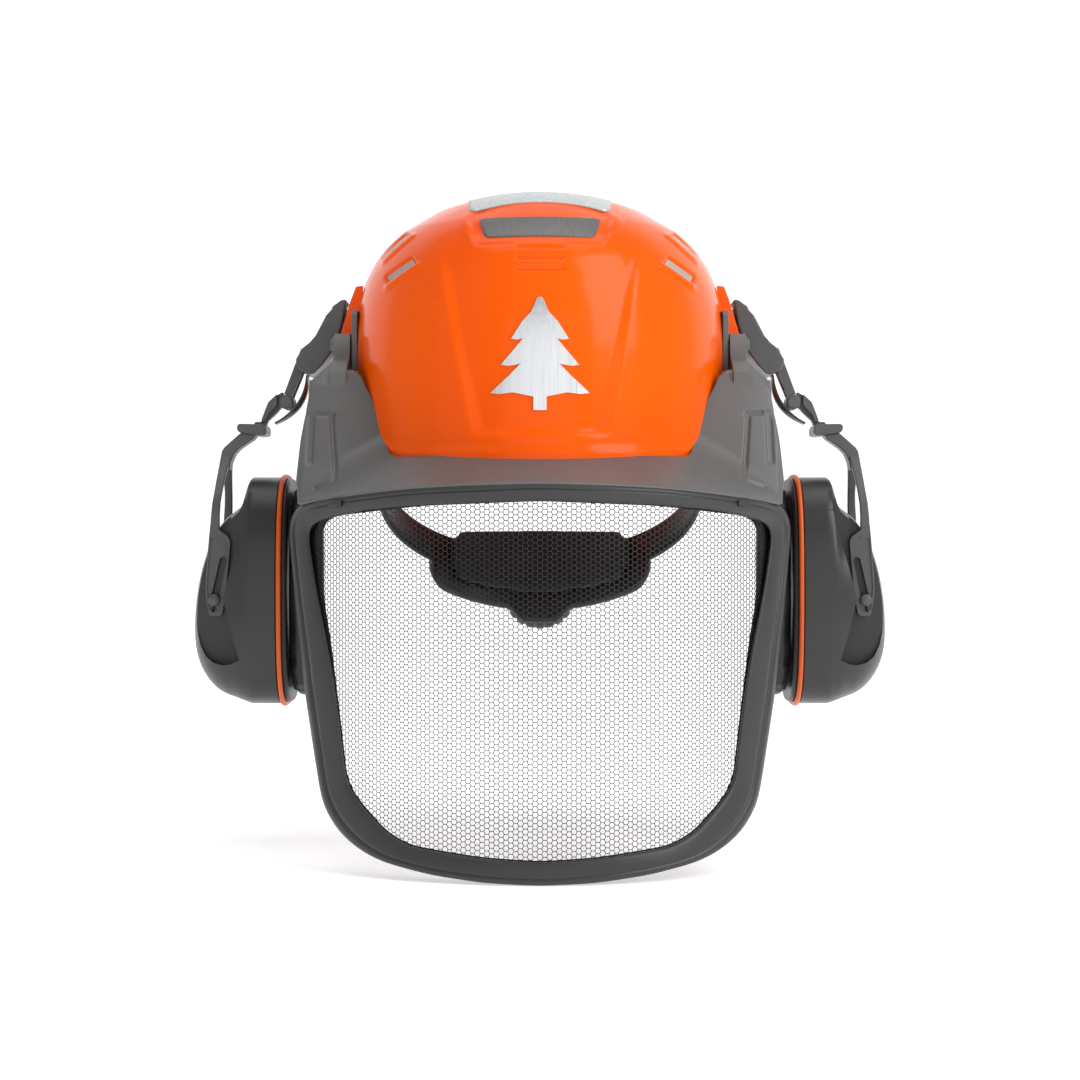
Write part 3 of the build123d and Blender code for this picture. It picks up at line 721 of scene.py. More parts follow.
def brow_depth(x, z):
    """Y of the brow and wing face over the front view."""
    ax = np.abs(x)
    rim = VISOR_Y - np.sqrt(np.clip(BROW_R ** 2 - ax ** 2, 1, None))
    above = z - crease_z(ax)
    slope = rim + 2.1 * np.clip(above, 0, None) + 0.35 * np.clip(1.6 - above, 0, None) ** 2
    wall = -54 - 36 * (57 - z) / 81 + 2.2 * np.clip((ax - 104) / 24, 0, 2) ** 2
    blend = 7.0
    gap = np.clip(1 - np.abs(slope - wall) / (2 * blend), 0, 1)
    y = np.minimum(slope, wall) - 0.5 * blend * gap ** 2
    # the wing's face: a panel outlined by a groove on its inner and lower side, a sunk strip and
    # a tapering chamfer by the outer edge, and a facet that leans back round the peak
    inner = ax - 110.6 + 0.106 * (23 - z)
    groove = smooth(0, 1.0, inner) * smooth(3.6, 2.4, inner) * smooth(-11, -9, z) * smooth(28.8, 26.8, z)
    head = np.abs(z - 26.6 - 0.12 * (ax - 110))
    groove = np.maximum(groove, smooth(1.9, 0.8, head) * smooth(110.0, 111.4, ax) * smooth(122.0, 120.8, ax))
    foot = np.abs(z + 9.5 + 0.33 * (ax - 107))
    groove = np.maximum(groove, smooth(1.7, 0.7, foot) * smooth(106.6, 108, ax) * smooth(121.4, 120, ax))
    strip = smooth(121.4, 122.2, ax) * smooth(126.0, 125.2, ax) * smooth(-1.0, 0.6, z) * smooth(31, 27, z)
    chamfer = np.clip(ax - 127.2 + 3.4 * np.clip((z - 25) / 19, 0, 1), 0, None) * smooth(46.5, 44.5, z)
    facet = np.clip(z - 44.5 + 0.35 * np.abs(ax - 118), 0, None) * smooth(108, 114, ax)
    return y + 1.7 * groove + 1.5 * strip + 1.1 * chamfer + 0.45 * facet


def build_brow():
    """Brow and wings as one sheet, thickened, with a lug and a pin on each side."""
    half_columns = np.r_[np.linspace(0, 74, 46), np.linspace(75, 99, 40), np.linspace(99.6, 128.6, 46)]
    rows = 84
    parts = []
    flank_steps = [(1.1, 0.4), (1.9, 1.2), (2.3, 2.4), (2.5, 5.0)]
    for s in (1, -1):
        columns = []
        for x in half_columns:
            low, high = float(crease_z(x)), float(brow_top(x))
            v = np.linspace(0, 1, rows)
            z = low + (high - low) * v
            across = x * (1 + (wing_edge(z) / wing_edge(-9.0) - 1) * float(smooth(98, 118, x)))
            y = brow_depth(across, z)
            # upper edge rolls back
            roll = np.clip(1 - (high - z) / 2.2, 0, 1)
            wing = smooth(78, 82, x)
            y = y + wing * 2.2 * (1 - np.sqrt(np.clip(1 - roll ** 2, 0, 1)))
            columns.append(np.stack([across, y, z], axis=1))
        edge = columns[-1]
        side_bulge = 0.9 + 1.6 * smooth(44, 5, edge[:, 2]) * smooth(-24, -5, edge[:, 2])
        for out, back in flank_steps:
            step = edge.copy()
            step[:, 0] += out * (0.5 + 0.5 * side_bulge / 2.5)
            step[:, 1] += back
            columns.append(step)
        rear = np.interp(edge[:, 2], [-24, -14, 20, 42, 50], [-58, -54, -42, -36, -38])
        last = columns[-1].copy()
        for share in np.linspace(0.12, 1, 14):
            step = last.copy()
            step[:, 1] = last[:, 1] + (rear - last[:, 1]) * share
            step[:, 0] = last[:, 0] - 0.6 * share
            columns.append(step)
        points = np.vstack(columns)
        points[:, 0] *= s
        parts.append((points, grid_faces(len(columns), rows)))
    points, faces = join_meshes(parts)
    piece = make_object("brow", points, faces, MAT["visor_grey"])
    work = bmesh.new()
    work.from_mesh(piece.data)
    # the sheet's face looks forwards before it is thickened backwards
    total = sum((f.normal * f.calc_area() for f in work.faces), Vector())
    if total.y > 0:
        bmesh.ops.reverse_faces(work, faces=work.faces)
    work.to_mesh(piece.data)
    work.free()
    solid = piece.modifiers.new("thickness", "SOLIDIFY")
    solid.thickness = 2.6 * MM
    solid.offset = -1.0
    solid.use_even_offset = False
    apply_modifiers(piece)
    piece.data.shade_smooth()
    settle(piece, "visor", ["visor_brow"])

    view = [(-60, 36), (-46, 38), (-34, 44), (-17.5, 60), (-16.5, 66), (-17.5, 71.5), (-20, 73.8),
            (-31, 73.8), (-34, 71), (-38, 60), (-50, 56), (-60, 50)]
    web = [(104.0, 50.5), (114.0, 50.5), (114.0, 38), (104.0, 38)]
    lug = [prism_mesh(view, "yz", 105.4, 114.3), cylinder_mesh(5.0, 113.6, 115.6, PIVOT, "x", 40, 0.8),
           prism_mesh(web, "xz", -58, -52)]
    pins = []
    for side, s in SIDES:
        moulding(side + "_lug", lug, 0.9, MAT["visor_grey"], "visor", side=s)
        for radius, low, high in ((3.4, 114.8, 116.9), (2.75, 105.0, 115.0)):
            points, faces = cylinder_mesh(radius, low, high, PIVOT, "x", 32, 0.5)
            pins.append((sided(points, s), faces))
    points, faces = join_meshes(pins)
    make_object("pivot_pins", points, faces, MAT["visor_grey"], "visor", ["visor_pivot_pins"])


def frame_outlines(count):
    """Matching points round the mesh's clear opening, the frame's window and its outer edge."""
    foot = [(103, -150), (101.5, -164), (98.6, -171), (93, -178), (86, -184.5), (80, -191), (67, -197.5),
            (29, -202), (0, -203.6)]
    opening = [(0, -21), (60, -23.2), (108, -28.0), (114.6, -30.2), (115.6, -33), (114.6, -73), (110.6, -94),
               (107, -120)] + foot
    window = [(0, -21), (60, -23.0), (90, -25.2), (112, -29.8), (120.5, -32.0), (123.0, -34.4), (122.8, -38),
              (121, -50), (118.4, -65), (115.2, -80), (112.0, -94), (109.4, -107), (106.8, -123)] + foot
    outer = [(0, -12.4), (66, -15.0), (124, -21.2), (131, -22.6), (136, -32), (131.8, -70), (125.5, -120),
             (119.8, -152), (115, -178), (110, -187), (104, -194), (94, -201), (82, -206), (56, -211),
             (28, -214), (0, -215)]
    angles = np.linspace(-math.pi, math.pi, count, endpoint=False)
    matched = []
    for half in (opening, window, outer):
        whole = half + [(-x, z) for x, z in reversed(half[1:-1])]
        rel = softened(resample(whole, 1400), 160) - WINDOW_CENTRE
        a = np.unwrap(np.arctan2(rel[:, 1], rel[:, 0]))
        if a[-1] < a[0]:
            a, rel = a[::-1], rel[::-1]
        turns = np.r_[a - 2 * math.pi, a, a + 2 * math.pi]
        three = np.vstack([rel, rel, rel])
        across, up = (np.interp(angles, turns, three[:, i]) for i in range(2))
        matched.append(np.stack([across, up], axis=1) + WINDOW_CENTRE)
    return matched


def spread(loop, distance):
    """A front-view loop grown outwards from the window's centre."""
    rel = loop - WINDOW_CENTRE
    return loop + rel / np.linalg.norm(rel, axis=1)[:, None] * distance


def on_cylinder(flat, radius):
    """Front-view points brought onto the visor's cylinder of a given radius."""
    x = flat[:, 0]
    y = VISOR_Y - np.sqrt(np.clip(radius ** 2 - x ** 2, 1, None))
    return np.stack([x, y, flat[:, 1]], axis=1)


def ring_piece(name, window, outer, profile, material, nodes):
    """A closed moulding round the window: profile gives (share across, radius)."""
    rows = [on_cylinder(window * (1 - share) + outer * share, radius) for share, radius in profile]
    return make_object(name, *loft(rows), material, "visor", nodes)


def build_frame():
    """Frame of the visor, the inner rim that traps its mesh, and two clips."""
    opening, window, outer = frame_outlines(560)
    profile = [(0.0, 149.0), (0.0, 150.6), (0.03, 151.4), (0.10, 151.9), (0.16, 152.2), (0.60, 152.7),
               (0.66, 152.75), (0.69, 152.3), (0.73, 152.3), (0.76, 152.75), (0.90, 152.6), (0.96, 152.1),
               (1.0, 151.0), (1.0, 149.4), (0.96, 148.6), (0.5, 148.6), (0.04, 148.6)]
    ring_piece("visor_rim", window, outer, profile, MAT["frame_grey"], ["visor_frame"])

    inner_window = opening - (opening - WINDOW_CENTRE) * 0.004
    profile = [(0.0, 147.0), (0.0, 145.6), (0.12, 144.6), (0.3, 144.2), (0.8, 144.2), (1.0, 145.0),
               (1.0, 147.0)]
    ring_piece("inner_rim", inner_window, spread(window, 6), profile, MAT["harness_black"], ["mesh_retainer"])

    # a small clip over each upper corner
    low, high = -23.6, -20.0
    rows = []
    for share, radius in ((0, 152.4), (0, 153.2), (0.12, 153.7), (0.88, 153.7), (1, 153.2), (1, 152.4)):
        height = np.full(8, low + (high - low) * share)
        rows.append(on_cylinder(np.stack([np.linspace(103.2, 110.8, 8), height], axis=1), radius))
    faces = grid_faces(6, 8, close_rows=True)
    faces += [tuple(r * 8 for r in range(6)), tuple(r * 8 + 7 for r in reversed(range(6)))]
    clips = [(sided(np.vstack(rows), side), faces) for side in (1, -1)]
    moulding("corner_clips", clips, 0.5, MAT["frame_grey"], "visor", ["visor_clips"])


def build_mesh():
    """Etched sheet of hexagonal holes: flat strips in front that taper to an edge at the back."""
    pitch, strut, thickness = 2.83, 0.40, 0.35
    period = pitch * math.sqrt(3) / 2
    _, window, _ = frame_outlines(360)
    grown = spread(window, 1.4)
    arc = np.arcsin(np.clip(grown[:, 0] / SCREEN_R, -1, 1)) * SCREEN_R
    limit = np.stack([arc, grown[:, 1]], axis=1)
    reach = int(float(np.abs(arc).max()) / period) + 1
    cells = []
    for i in range(-reach, reach + 1):
        crossing = crossings(limit, i * period)
        if len(crossing) < 2:
            continue
        low, high = min(crossing), max(crossing)
        shift = pitch / 2 if i % 2 else 0.0
        for j in range(int(math.floor(low / pitch)) - 1, int(math.ceil(high / pitch)) + 1):
            z = j * pitch + shift
            if low < z < high:
                cells.append((i * period, z))
    cells = np.array(cells)
    turn = np.radians(np.arange(6) * 60.0)
    unit = np.stack([np.cos(turn), np.sin(turn)], axis=1)
    outer = unit * pitch / math.sqrt(3)
    hole = unit * (pitch - strut) / math.sqrt(3)
    points = []
    for shape, radius in ((outer, SCREEN_R + thickness), (hole, SCREEN_R + thickness), (outer, SCREEN_R)):
        flat = (cells[:, None, :] + shape[None, :, :]).reshape(-1, 2)
        a = flat[:, 0] / SCREEN_R
        points.append(np.stack([radius * np.sin(a), VISOR_Y - radius * np.cos(a), flat[:, 1]], axis=1))
    count = len(cells) * 6
    base = np.repeat(np.arange(len(cells)) * 6, 6)
    here = base + np.tile(np.arange(6), len(cells))
    there = base + np.tile((np.arange(6) + 1) % 6, len(cells))
    front = np.stack([here, there, count + there, count + here], axis=1)
    wall = np.stack([count + here, count + there, 2 * count + there, 2 * count + here], axis=1)
    mesh = bpy.data.meshes.new("visor_screen")
    mesh.from_pydata((np.vstack(points) * MM).tolist(), [], np.vstack([front, wall]).tolist())
    work = bmesh.new()
    work.from_mesh(mesh)
    bmesh.ops.remove_doubles(work, verts=work.verts, dist=0.03 * MM)
    work.to_mesh(mesh)
    work.free()
    mesh.materials.append(MAT["mesh_black"])
    settle(link_object("visor_screen", mesh), "visor", ["visor_mesh"])


def crossings(loop, u):
    """Heights where a closed front-view loop crosses a given place along the arc."""
    a, b = loop, np.roll(loop, -1, axis=0)
    hit = (a[:, 0] - u) * (b[:, 0] - u) < 0
    share = (u - a[hit, 0]) / (b[hit, 0] - a[hit, 0])
    return list(a[hit, 1] + share * (b[hit, 1] - a[hit, 1]))


# ------------------------------------------------------------------ ear muffs

CUP_Y = 6.0
CUP_MID_Z = -69.5
PIN = (182.5, -74.6)
HINGE = (144.8, 37.8)


def loop_section(x, low, high, half_depth, count=96, power=3.0):
    """A rounded-rectangle loop across the cup at x."""
    a = np.linspace(0, 2 * math.pi, count, endpoint=False)
    c, s = np.cos(a), np.sin(a)
    y = CUP_Y + half_depth * np.sign(c) * np.abs(c) ** (2 / power)
    z = (low + high) / 2 + (high - low) / 2 * np.sign(s) * np.abs(s) ** (2 / power)
    return np.stack([np.full(count, float(x)), y, z], axis=1)


def cup_loop(x, grow, count=96, power=3.0):
    """The cup's rim outline at x, grown by a margin."""
    return loop_section(x, -134 - grow, -5 + grow, 45 + grow, count, power)


def cup_piece(name, side, s, points, faces, material, nodes):
    piece = make_object(name, points, faces, material)
    if s < 0:
        mirror_mesh(piece)
    settle(piece, side + "_cup", nodes)


def build_cup(side, s):
    # stations across the cup: x, top, bottom, half depth and squareness
    stations = np.array([
        (146.2, -6.0, -133.4, 44.4, 3.0), (146.9, -5.2, -134, 45, 3.0), (162.6, -5.2, -134, 45, 3.0),
        (164.2, -6.6, -133.7, 44.7, 2.95), (166.2, -14, -133, 44.2, 2.9), (168.4, -21, -132.2, 43.6, 2.85),
        (173, -24.4, -130.4, 42.2, 2.75), (177.5, -27.6, -129, 40.4, 2.7), (183, -34, -126, 37.2, 2.6),
        (188, -44, -121, 32.4, 2.5), (192, -56, -115, 26, 2.4), (194.8, -70, -108, 17.5, 2.3),
        (196.2, -82, -102, 9, 2.2), (196.9, -92.5, -95.5, 1.6, 2.0)])
    fine = np.r_[np.linspace(0, 1, 2), np.linspace(1.3, 2, 4), np.linspace(2.25, len(stations) - 1, 46)]
    count = 96
    rows = []
    for f in fine:
        x, top, bottom, depth, power = (np.interp(f, np.arange(len(stations)), v) for v in stations.T)
        rows.append(loop_section(x, bottom, top, depth, count, power))
    grid = np.array(rows)
    # relax the stations so that the silhouette has no corners beyond the band
    for _ in range(3):
        grid[9:-1] = 0.5 * grid[9:-1] + 0.25 * (grid[8:-2] + grid[10:])
    faces = grid_faces(len(rows), count, close_columns=True)
    faces.append(tuple(range(count)))
    faces.append(tuple(reversed(range((len(rows) - 1) * count, len(rows) * count))))
    piece = make_object(side + "_cup", grid.reshape(-1, 3), faces, MAT["cup_charcoal"])
    # bow-tie recess in the front and the back face, where the yoke's plates slide
    recess = [(166.8, -8.0), (162.6, -24.0), (169.0, -48.0), (175.9, -73.6), (171.5, -91.0), (166.9, -107.8),
              (172.0, -110.2), (177.0, -110.8), (182.4, -109.6), (187.0, -106.2), (190.6, -99.6),
              (192.7, -91.0), (193.6, -82.0), (194.0, -70.0), (204.0, -56.0), (204.0, 20.0), (166.0, 20.0)]
    # shoulders that clear the fork when the cup is pushed up
    shoulder = [(174.0, -46.0), (204.0, -46.0), (204.0, 20.0), (174.0, 20.0)]
    for outline, inset in ((recess, 23.3), (shoulder, 18.6)):
        for low, high in ((-60.0, CUP_Y - inset), (CUP_Y + inset, 72.0)):
            cut(piece, *prism_mesh(outline, "xz", low, high))
    rounded(piece, 0.7, 2, 40)
    if s < 0:
        mirror_mesh(piece)
    settle(piece, side + "_cup", [side + "_cup_shell"])

    ring = [cup_loop(x, grow, 128) for grow, x in
            ((-0.4, 143.6), (0.9, 143.7), (1.4, 144.3), (1.4, 145.4), (0.9, 146.0), (-0.4, 146.1),
             (-7.0, 146.0), (-7.0, 143.7))]
    cup_piece(side + "_ring", side, s, *loft(ring), MAT["ring_orange"], [side + "_trim_ring"])
    plate = [cup_loop(x, grow) for grow, x in ((-1.2, 141.3), (-0.8, 143.5), (-22.0, 143.5), (-22.0, 141.3))]
    cup_piece(side + "_plate", side, s, *loft(plate), MAT["harness_black"], [side + "_back_plate"])


def mirror_mesh(piece):
    """Turns a +X mesh into its mirror image, normals kept outwards."""
    piece.data.transform(Matrix.Scale(-1, 4, (1, 0, 0)))
    piece.data.flip_normals()


def swell(piece, pressure, cap, frames=20, voxel=0.005):
    """Cushion recipe: an even remesh, a short cloth inflation, and a limit on how far it moves."""
    remesh = piece.modifiers.new("even", "REMESH")
    remesh.mode = "VOXEL"
    remesh.voxel_size = voxel
    apply_modifiers(piece)
    rest = points_of(piece)
    cloth = piece.modifiers.new("cloth", "CLOTH")
    cloth.settings.use_pressure = True
    cloth.settings.uniform_pressure_force = pressure
    cloth.settings.effector_weights.gravity = 0
    cloth.settings.quality = 5
    scene = bpy.context.scene
    for number in range(1, frames + 1):
        scene.frame_set(number)
    graph = bpy.context.evaluated_depsgraph_get()
    blown = bpy.data.meshes.new_from_object(piece.evaluated_get(graph))
    moved = np.array([v.co[:] for v in blown.vertices]) - rest
    length = np.linalg.norm(moved, axis=1)[:, None]
    moved *= np.minimum(1.0, cap * MM / np.maximum(length, 1e-9))
    piece.modifiers.clear()
    move_points(piece, rest + moved)
    bpy.data.meshes.remove(blown)
    scene.frame_set(1)
    divide = piece.modifiers.new("finer", "SUBSURF")
    divide.levels = divide.render_levels = 1
    apply_modifiers(piece)
    piece.data.shade_smooth()


def build_cushions():
    """Ear cushions: a soft ring, blown up a little, then pulled in along its welded seam."""
    outside = ((-6.0, 139.8), (-4.2, 136.0), (-4.0, 131.5), (-6.5, 127.6), (-12.5, 126.0))
    loops = [cup_loop(x, grow, 96, 2.8) for grow, x in outside]
    hole = ((8.0, 126.2), (2.6, 128.5), (1.6, 134.0), (2.4, 139.8))
    loops += [loop_section(x, -101.5 - grow, -37.5 + grow, 21 + grow, 96, 2.4) for grow, x in hole]
    piece = make_object("left_cushion", *loft(loops), MAT["cushion_black"])
    swell(piece, 4.0, 2.4, voxel=0.0042)
    co = points_of(piece) / MM
    # keep the back flat against its plate, and sink a seam with fine folds round the outside
    co[:, 0] = np.clip(co[:, 0], 125.0, 140.9)
    seam = np.exp(-((co[:, 0] - 137.4) / 0.9) ** 2)
    radial = (co - np.array([0, CUP_Y, CUP_MID_Z])) * np.array([0, 1, 1])
    rim = (np.abs(radial[:, 1]) > 33) | (np.abs(radial[:, 2]) > 50)
    turn = np.arctan2(radial[:, 2], radial[:, 1])
    radial /= np.maximum(np.linalg.norm(radial, axis=1)[:, None], 1e-6)
    folds = 0.16 * np.sin(turn * 46.0) * smooth(140, 136, co[:, 0])
    co += radial * ((folds - 0.9 * seam) * rim)[:, None]
    move_points(piece, co * MM)
    twin = link_object("right_cushion", piece.data.copy())
    mirror_mesh(twin)
    for side, pad in (("left", piece), ("right", twin)):
        settle(pad, side + "_cup", [side + "_ear_cushion"])


def build_cup_foam():
    """Grey acoustic foam inside each cup, a loose-edged block that bulges to the opening."""
    count = 64
    loops = [loop_section(x, -109.5 + shrink, -33.5 - shrink, 19 - shrink, count) for shrink, x in
             ((6.0, 164.8), (2.0, 165.4), (0.6, 168.0), (0.8, 173.0), (3.0, 175.4), (9.0, 176.0))]
    points = np.vstack(loops)
    faces = grid_faces(len(loops), count, close_columns=True)
    faces += [tuple(range(count)), tuple(reversed(range((len(loops) - 1) * count, len(loops) * count)))]
    for side, s in SIDES:
        piece = make_object(side + "_foam", sided(points, s), faces, MAT["foam_grey"])
        swell(piece, 3.0, 0.8)
        settle(piece, side + "_cup", [side + "_cup_foam"])


def build_arms():
    head = [(109.6, 95.4), (112.5, 95.2), (117.6, 91.6), (118.4, 89.6), (121.4, 86.4), (122.2, 84.0),
            (127.4, 74.8), (130.6, 71.0), (134.6, 68.0), (138.4, 61.6), (138.4, 58.8), (136.8, 55.8),
            (131.5, 52.6), (128.0, 53.4), (123.0, 58.6), (117.4, 66.5), (112.6, 80.0)]
    rib = [(119.0, 91.0), (122.8, 86.2), (128.2, 75.8), (131.6, 71.8), (135.4, 68.8), (133.0, 66.8),
           (125.6, 72.0), (118.0, 84.0)]
    head_parts = [prism_mesh(head, "xz", -7.5, 27.5), prism_mesh(rib, "xz", 1.5, 18.5)]

    link = [(131.0, 66.6), (136.4, 68.6), (140.2, 58.6), (146.2, 42.4), (141.8, 40.6)]
    web = [(131.0, 66.6), (136.4, 68.6), (139.4, 60.6), (134.4, 58.2)]
    low_bar = [(138.4, 52.0), (142.2, 53.4), (144.2, 47.6), (141.0, 46.4)]
    link_parts = [prism_mesh(link, "xz", 2.4, 6.0), prism_mesh(link, "xz", 14.0, 17.6),
                  prism_mesh(web, "xz", 5.0, 15.0), prism_mesh(low_bar, "xz", 5.0, 15.0),
                  cylinder_mesh(4.2, 2.2, 6.1, HINGE, "y"), cylinder_mesh(4.2, 13.9, 17.8, HINGE, "y")]

    hook = [(147.6, 43.8), (151.0, 41.8), (155.4, 37.6), (157.0, 33.6), (159.3, 27.4), (163.4, 24.8),
            (163.2, 22.0), (158.0, 22.2), (155.8, 27.3), (151.0, 31.8), (146.9, 36.4), (146.0, 40.0)]
    wide = [(150.4, 42.2), (155.2, 37.8), (157.0, 33.4), (159.2, 27.4), (157.6, 26.6), (155.0, 31.0),
            (150.2, 36.2)]
    swing_parts = [prism_mesh(hook, "xz", 6.9, 13.1), prism_mesh(wide, "xz", 2.2, 17.8),
                   cylinder_mesh(4.0, 6.9, 13.1, HINGE, "y")]

    pins = []
    for low, high, head_low in ((CUP_Y - 30.4, CUP_Y - 21.5, CUP_Y - 30.4),
                                (CUP_Y + 21.5, CUP_Y + 30.4, CUP_Y + 28.5)):
        pins.append(cylinder_mesh(1.9, low + 1.0, high - 1.0, PIN, "y"))
        pins.append(cylinder_mesh(3.3, head_low, head_low + 1.9, PIN, "y", 28, 0.6))
    pin_points, pin_faces = join_meshes(pins)

    grey = MAT["arm_grey"]
    for side, s in SIDES:
        swivel, arm = side + "_swivel", side + "_arm"
        moulding(side + "_arm_head", head_parts, 1.1, grey, swivel, [side + "_arm_head"], s)
        moulding(side + "_link", link_parts, 0.4, grey, swivel, [side + "_hinge_link"], s)
        moulding(side + "_swing_link", swing_parts, 0.4, grey, arm, [side + "_swing_link"], s)
        build_spring(side, s)
        build_yoke(side, s)
        make_object(side + "_cup_pins", sided(pin_points, s), pin_faces, grey, side + "_slider",
                    [side + "_slider_pins"])


def build_spring(side, s):
    """Thin dark leaf spring, bowed under the hinge."""
    first, middle, last = np.array([(133.4, 53.4), (134.6, 35.0), (151.8, 25.8)])
    t = np.linspace(0, 1, 25)[:, None]
    line = (1 - t) ** 2 * first + 2 * t * (1 - t) * middle + t ** 2 * last
    count = len(line)
    along = np.gradient(line, axis=0)
    across = np.stack([-along[:, 1], along[:, 0]], axis=1)
    across /= np.linalg.norm(across, axis=1)[:, None]
    rows = []
    widths = np.linspace(-1, 1, 7)
    for face, order in ((-0.6, widths), (0.6, widths[::-1])):
        for w in order:
            bow = 1.9 * (1 - w ** 2) * np.sin(np.linspace(0.15, math.pi - 0.15, count))
            p = line + across * (face - bow)[:, None]
            rows.append(np.stack([p[:, 0], np.full(count, 10 + 4.8 * w), p[:, 1]], axis=1))
    faces = grid_faces(len(rows), count, close_rows=True)
    faces += [tuple(r * count for r in range(len(rows))),
              tuple(r * count + count - 1 for r in reversed(range(len(rows))))]
    piece = make_object(side + "_leaf", sided(np.vstack(rows), s), faces, MAT["spring_steel"])
    rounded(piece, 0.15)
    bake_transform(piece)
    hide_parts(side + "_leaf_spring")


def build_yoke(side, s):
    """Crossbar, neck and fork of the muff arm, with a slotted plate on each side of the cup."""
    bar = [(156.2, 24.0), (157.6, 25.0), (171.4, 25.2), (172.6, 24.0), (172.4, 21.6), (171.0, 20.0),
           (167.6, 19.6), (160.0, 18.4), (156.6, 18.6), (155.6, 20.4)]
    bead = [(157.0, 24.8), (157.6, 26.4), (163.0, 26.6), (163.6, 24.8)]
    neck = [(161.6, 19.0), (170.4, 20.2), (172.4, 18.6), (180.0, 11.8), (181.4, 9.6), (182.6, 3.0),
            (182.4, -1.0), (177.0, -1.0), (176.2, 3.6), (174.0, 8.4), (171.0, 11.4), (163.6, 16.4)]
    parts = [prism_mesh(bar, "xz", -2.5, 22.5), prism_mesh(bead, "xz", 3.0, 17.0),
             prism_mesh(neck, "xz", CUP_Y - 6.5, CUP_Y + 6.5)]
    # stations of a leg, from the neck down to its plate: y offset, z, inner x, outer x, half thickness
    leg = ((3.2, 7.5, 176.0, 181.9, 3.2), (7.5, 1.5, 177.2, 182.4, 2.6), (14.5, -6.0, 178.2, 182.9, 2.1),
           (21.0, -13.5, 178.9, 183.3, 1.8), (25.4, -20.5, 179.4, 184.0, 1.6), (26.5, -28, 179.7, 184.6, 1.5),
           (26.5, -34.0, 179.6, 185.0, 1.35), (26.5, -40.0, 179.4, 185.0, 1.2))
    for sign in (1, -1):
        rows = []
        for y, z, low, high, half in leg:
            centre = CUP_Y + sign * y
            rows += [(low, centre - half, z), (high, centre - half, z), (high, centre + half, z),
                     (low, centre + half, z)]
        parts.append((rows, grid_faces(8, 4, close_columns=True) + [(0, 1, 2, 3), (31, 30, 29, 28)]))
    piece = make_object(side + "_yoke", *join_meshes(parts), MAT["arm_grey"])
    rounded(piece, 0.8)
    plate = [(184.9, -33.0), (181.4, -34.0), (178.4, -36.6), (175.2, -38.8), (173.8, -41.0), (173.6, -43.4),
             (174.7, -56.0), (175.9, -70.7), (178.2, -82.4), (179.4, -83.6), (184.3, -83.8), (185.4, -82.7),
             (187.0, -76.0), (187.7, -67.9), (186.8, -54.0)]
    slot = [(175.4, -52.0), (177.0, -50.2), (179.4, -51.4), (184.0, -71.2), (184.9, -74.4), (184.2, -76.8),
            (182.4, -77.1), (180.6, -76.0), (180.0, -73.4)]
    notch = [(181.6, -78.0), (183.6, -78.3), (184.0, -81.4), (182.4, -81.2)]
    rim = [(175.5, -44.0), (178.0, -39.6), (184.4, -37.2), (185.8, -56.0), (186.6, -68.0), (185.2, -80.0),
           (180.6, -80.6), (178.4, -70.6)]
    plates = []
    for low, rim_low, rim_high in ((CUP_Y - 28.0, CUP_Y - 29.0, CUP_Y - 27.2),
                                   (CUP_Y + 25.0, CUP_Y + 27.2, CUP_Y + 29.0)):
        one = make_object("plate", *prism_mesh(plate, "xz", low, low + 3.0), MAT["arm_grey"])
        cut(one, *prism_mesh(slot, "xz", low - 1, low + 4))
        cut(one, *prism_mesh(notch, "xz", low - 1, low + 4))
        cut(one, *prism_mesh(rim, "xz", rim_low, rim_high))
        rounded(one, 0.45)
        plates.append(one)
    with bpy.context.temp_override(active_object=piece, object=piece, selected_objects=[piece] + plates,
                                   selected_editable_objects=[piece] + plates):
        bpy.ops.object.join()
    if s < 0:
        mirror_mesh(piece)
    settle(piece, side + "_arm", [side + "_yoke"])


# ------------------------------------------------------------------ harness


def oval(half_x, half_y, count, start=0.0, end=2 * math.pi):
    a = np.linspace(start, end, count, endpoint=abs(end - start - 2 * math.pi) > 1e-6)
    return np.stack([half_x * np.cos(a), half_y * np.sin(a)], axis=1), a


def band_mesh(half_x, half_y, thickness, low, high, start=0.0, end=2 * math.pi, count=128, roll=0.6,
              turned=0.0):
    """A flat band bent round an oval, its edges eased and its ends rounded by the radius turned.
    low and high may be functions of the angle."""
    closed = abs(end - start - 2 * math.pi) < 1e-6
    outer, angles = oval(half_x, half_y, count, start, end)
    inner, _ = oval(half_x - thickness, half_y - thickness, count, start, end)
    lows = np.array([low(a) if callable(low) else low for a in angles], float)
    highs = np.array([high(a) if callable(high) else high for a in angles], float)
    if turned:
        from_end = np.minimum(angles - start, end - angles) * (half_x + half_y) / 2
        inset = np.clip(turned - from_end, 0, turned)
        tuck = turned - np.sqrt(turned ** 2 - inset ** 2)
        lows, highs = lows + tuck, highs - tuck
    rows = []
    for share, lift in ((0.0, roll), (0.25, 0.0), (0.75, 0.0), (1.0, roll)):
        flat = outer * (1 - share) + inner * share
        rows.append(np.column_stack([flat, lows + lift]))
    for share, lift in ((1.0, roll), (0.75, 0.0), (0.25, 0.0), (0.0, roll)):
        flat = outer * (1 - share) + inner * share
        rows.append(np.column_stack([flat, highs - lift]))
    points = np.vstack(rows)
    faces = grid_faces(8, count, close_rows=True, close_columns=closed)
    if not closed:
        faces += [tuple(r * count for r in range(8)),
                  tuple(r * count + count - 1 for r in reversed(range(8)))]
    return points, faces


NAPE_TILT = math.radians(31)


def tilt_nape(points):
    """From the nape ring's own plane into the row frame."""
    p = np.array(points, float)
    c, s = math.cos(NAPE_TILT), math.sin(NAPE_TILT)
    return np.stack([p[:, 0], p[:, 1] * c + p[:, 2] * s, -p[:, 1] * s + p[:, 2] * c], axis=1)


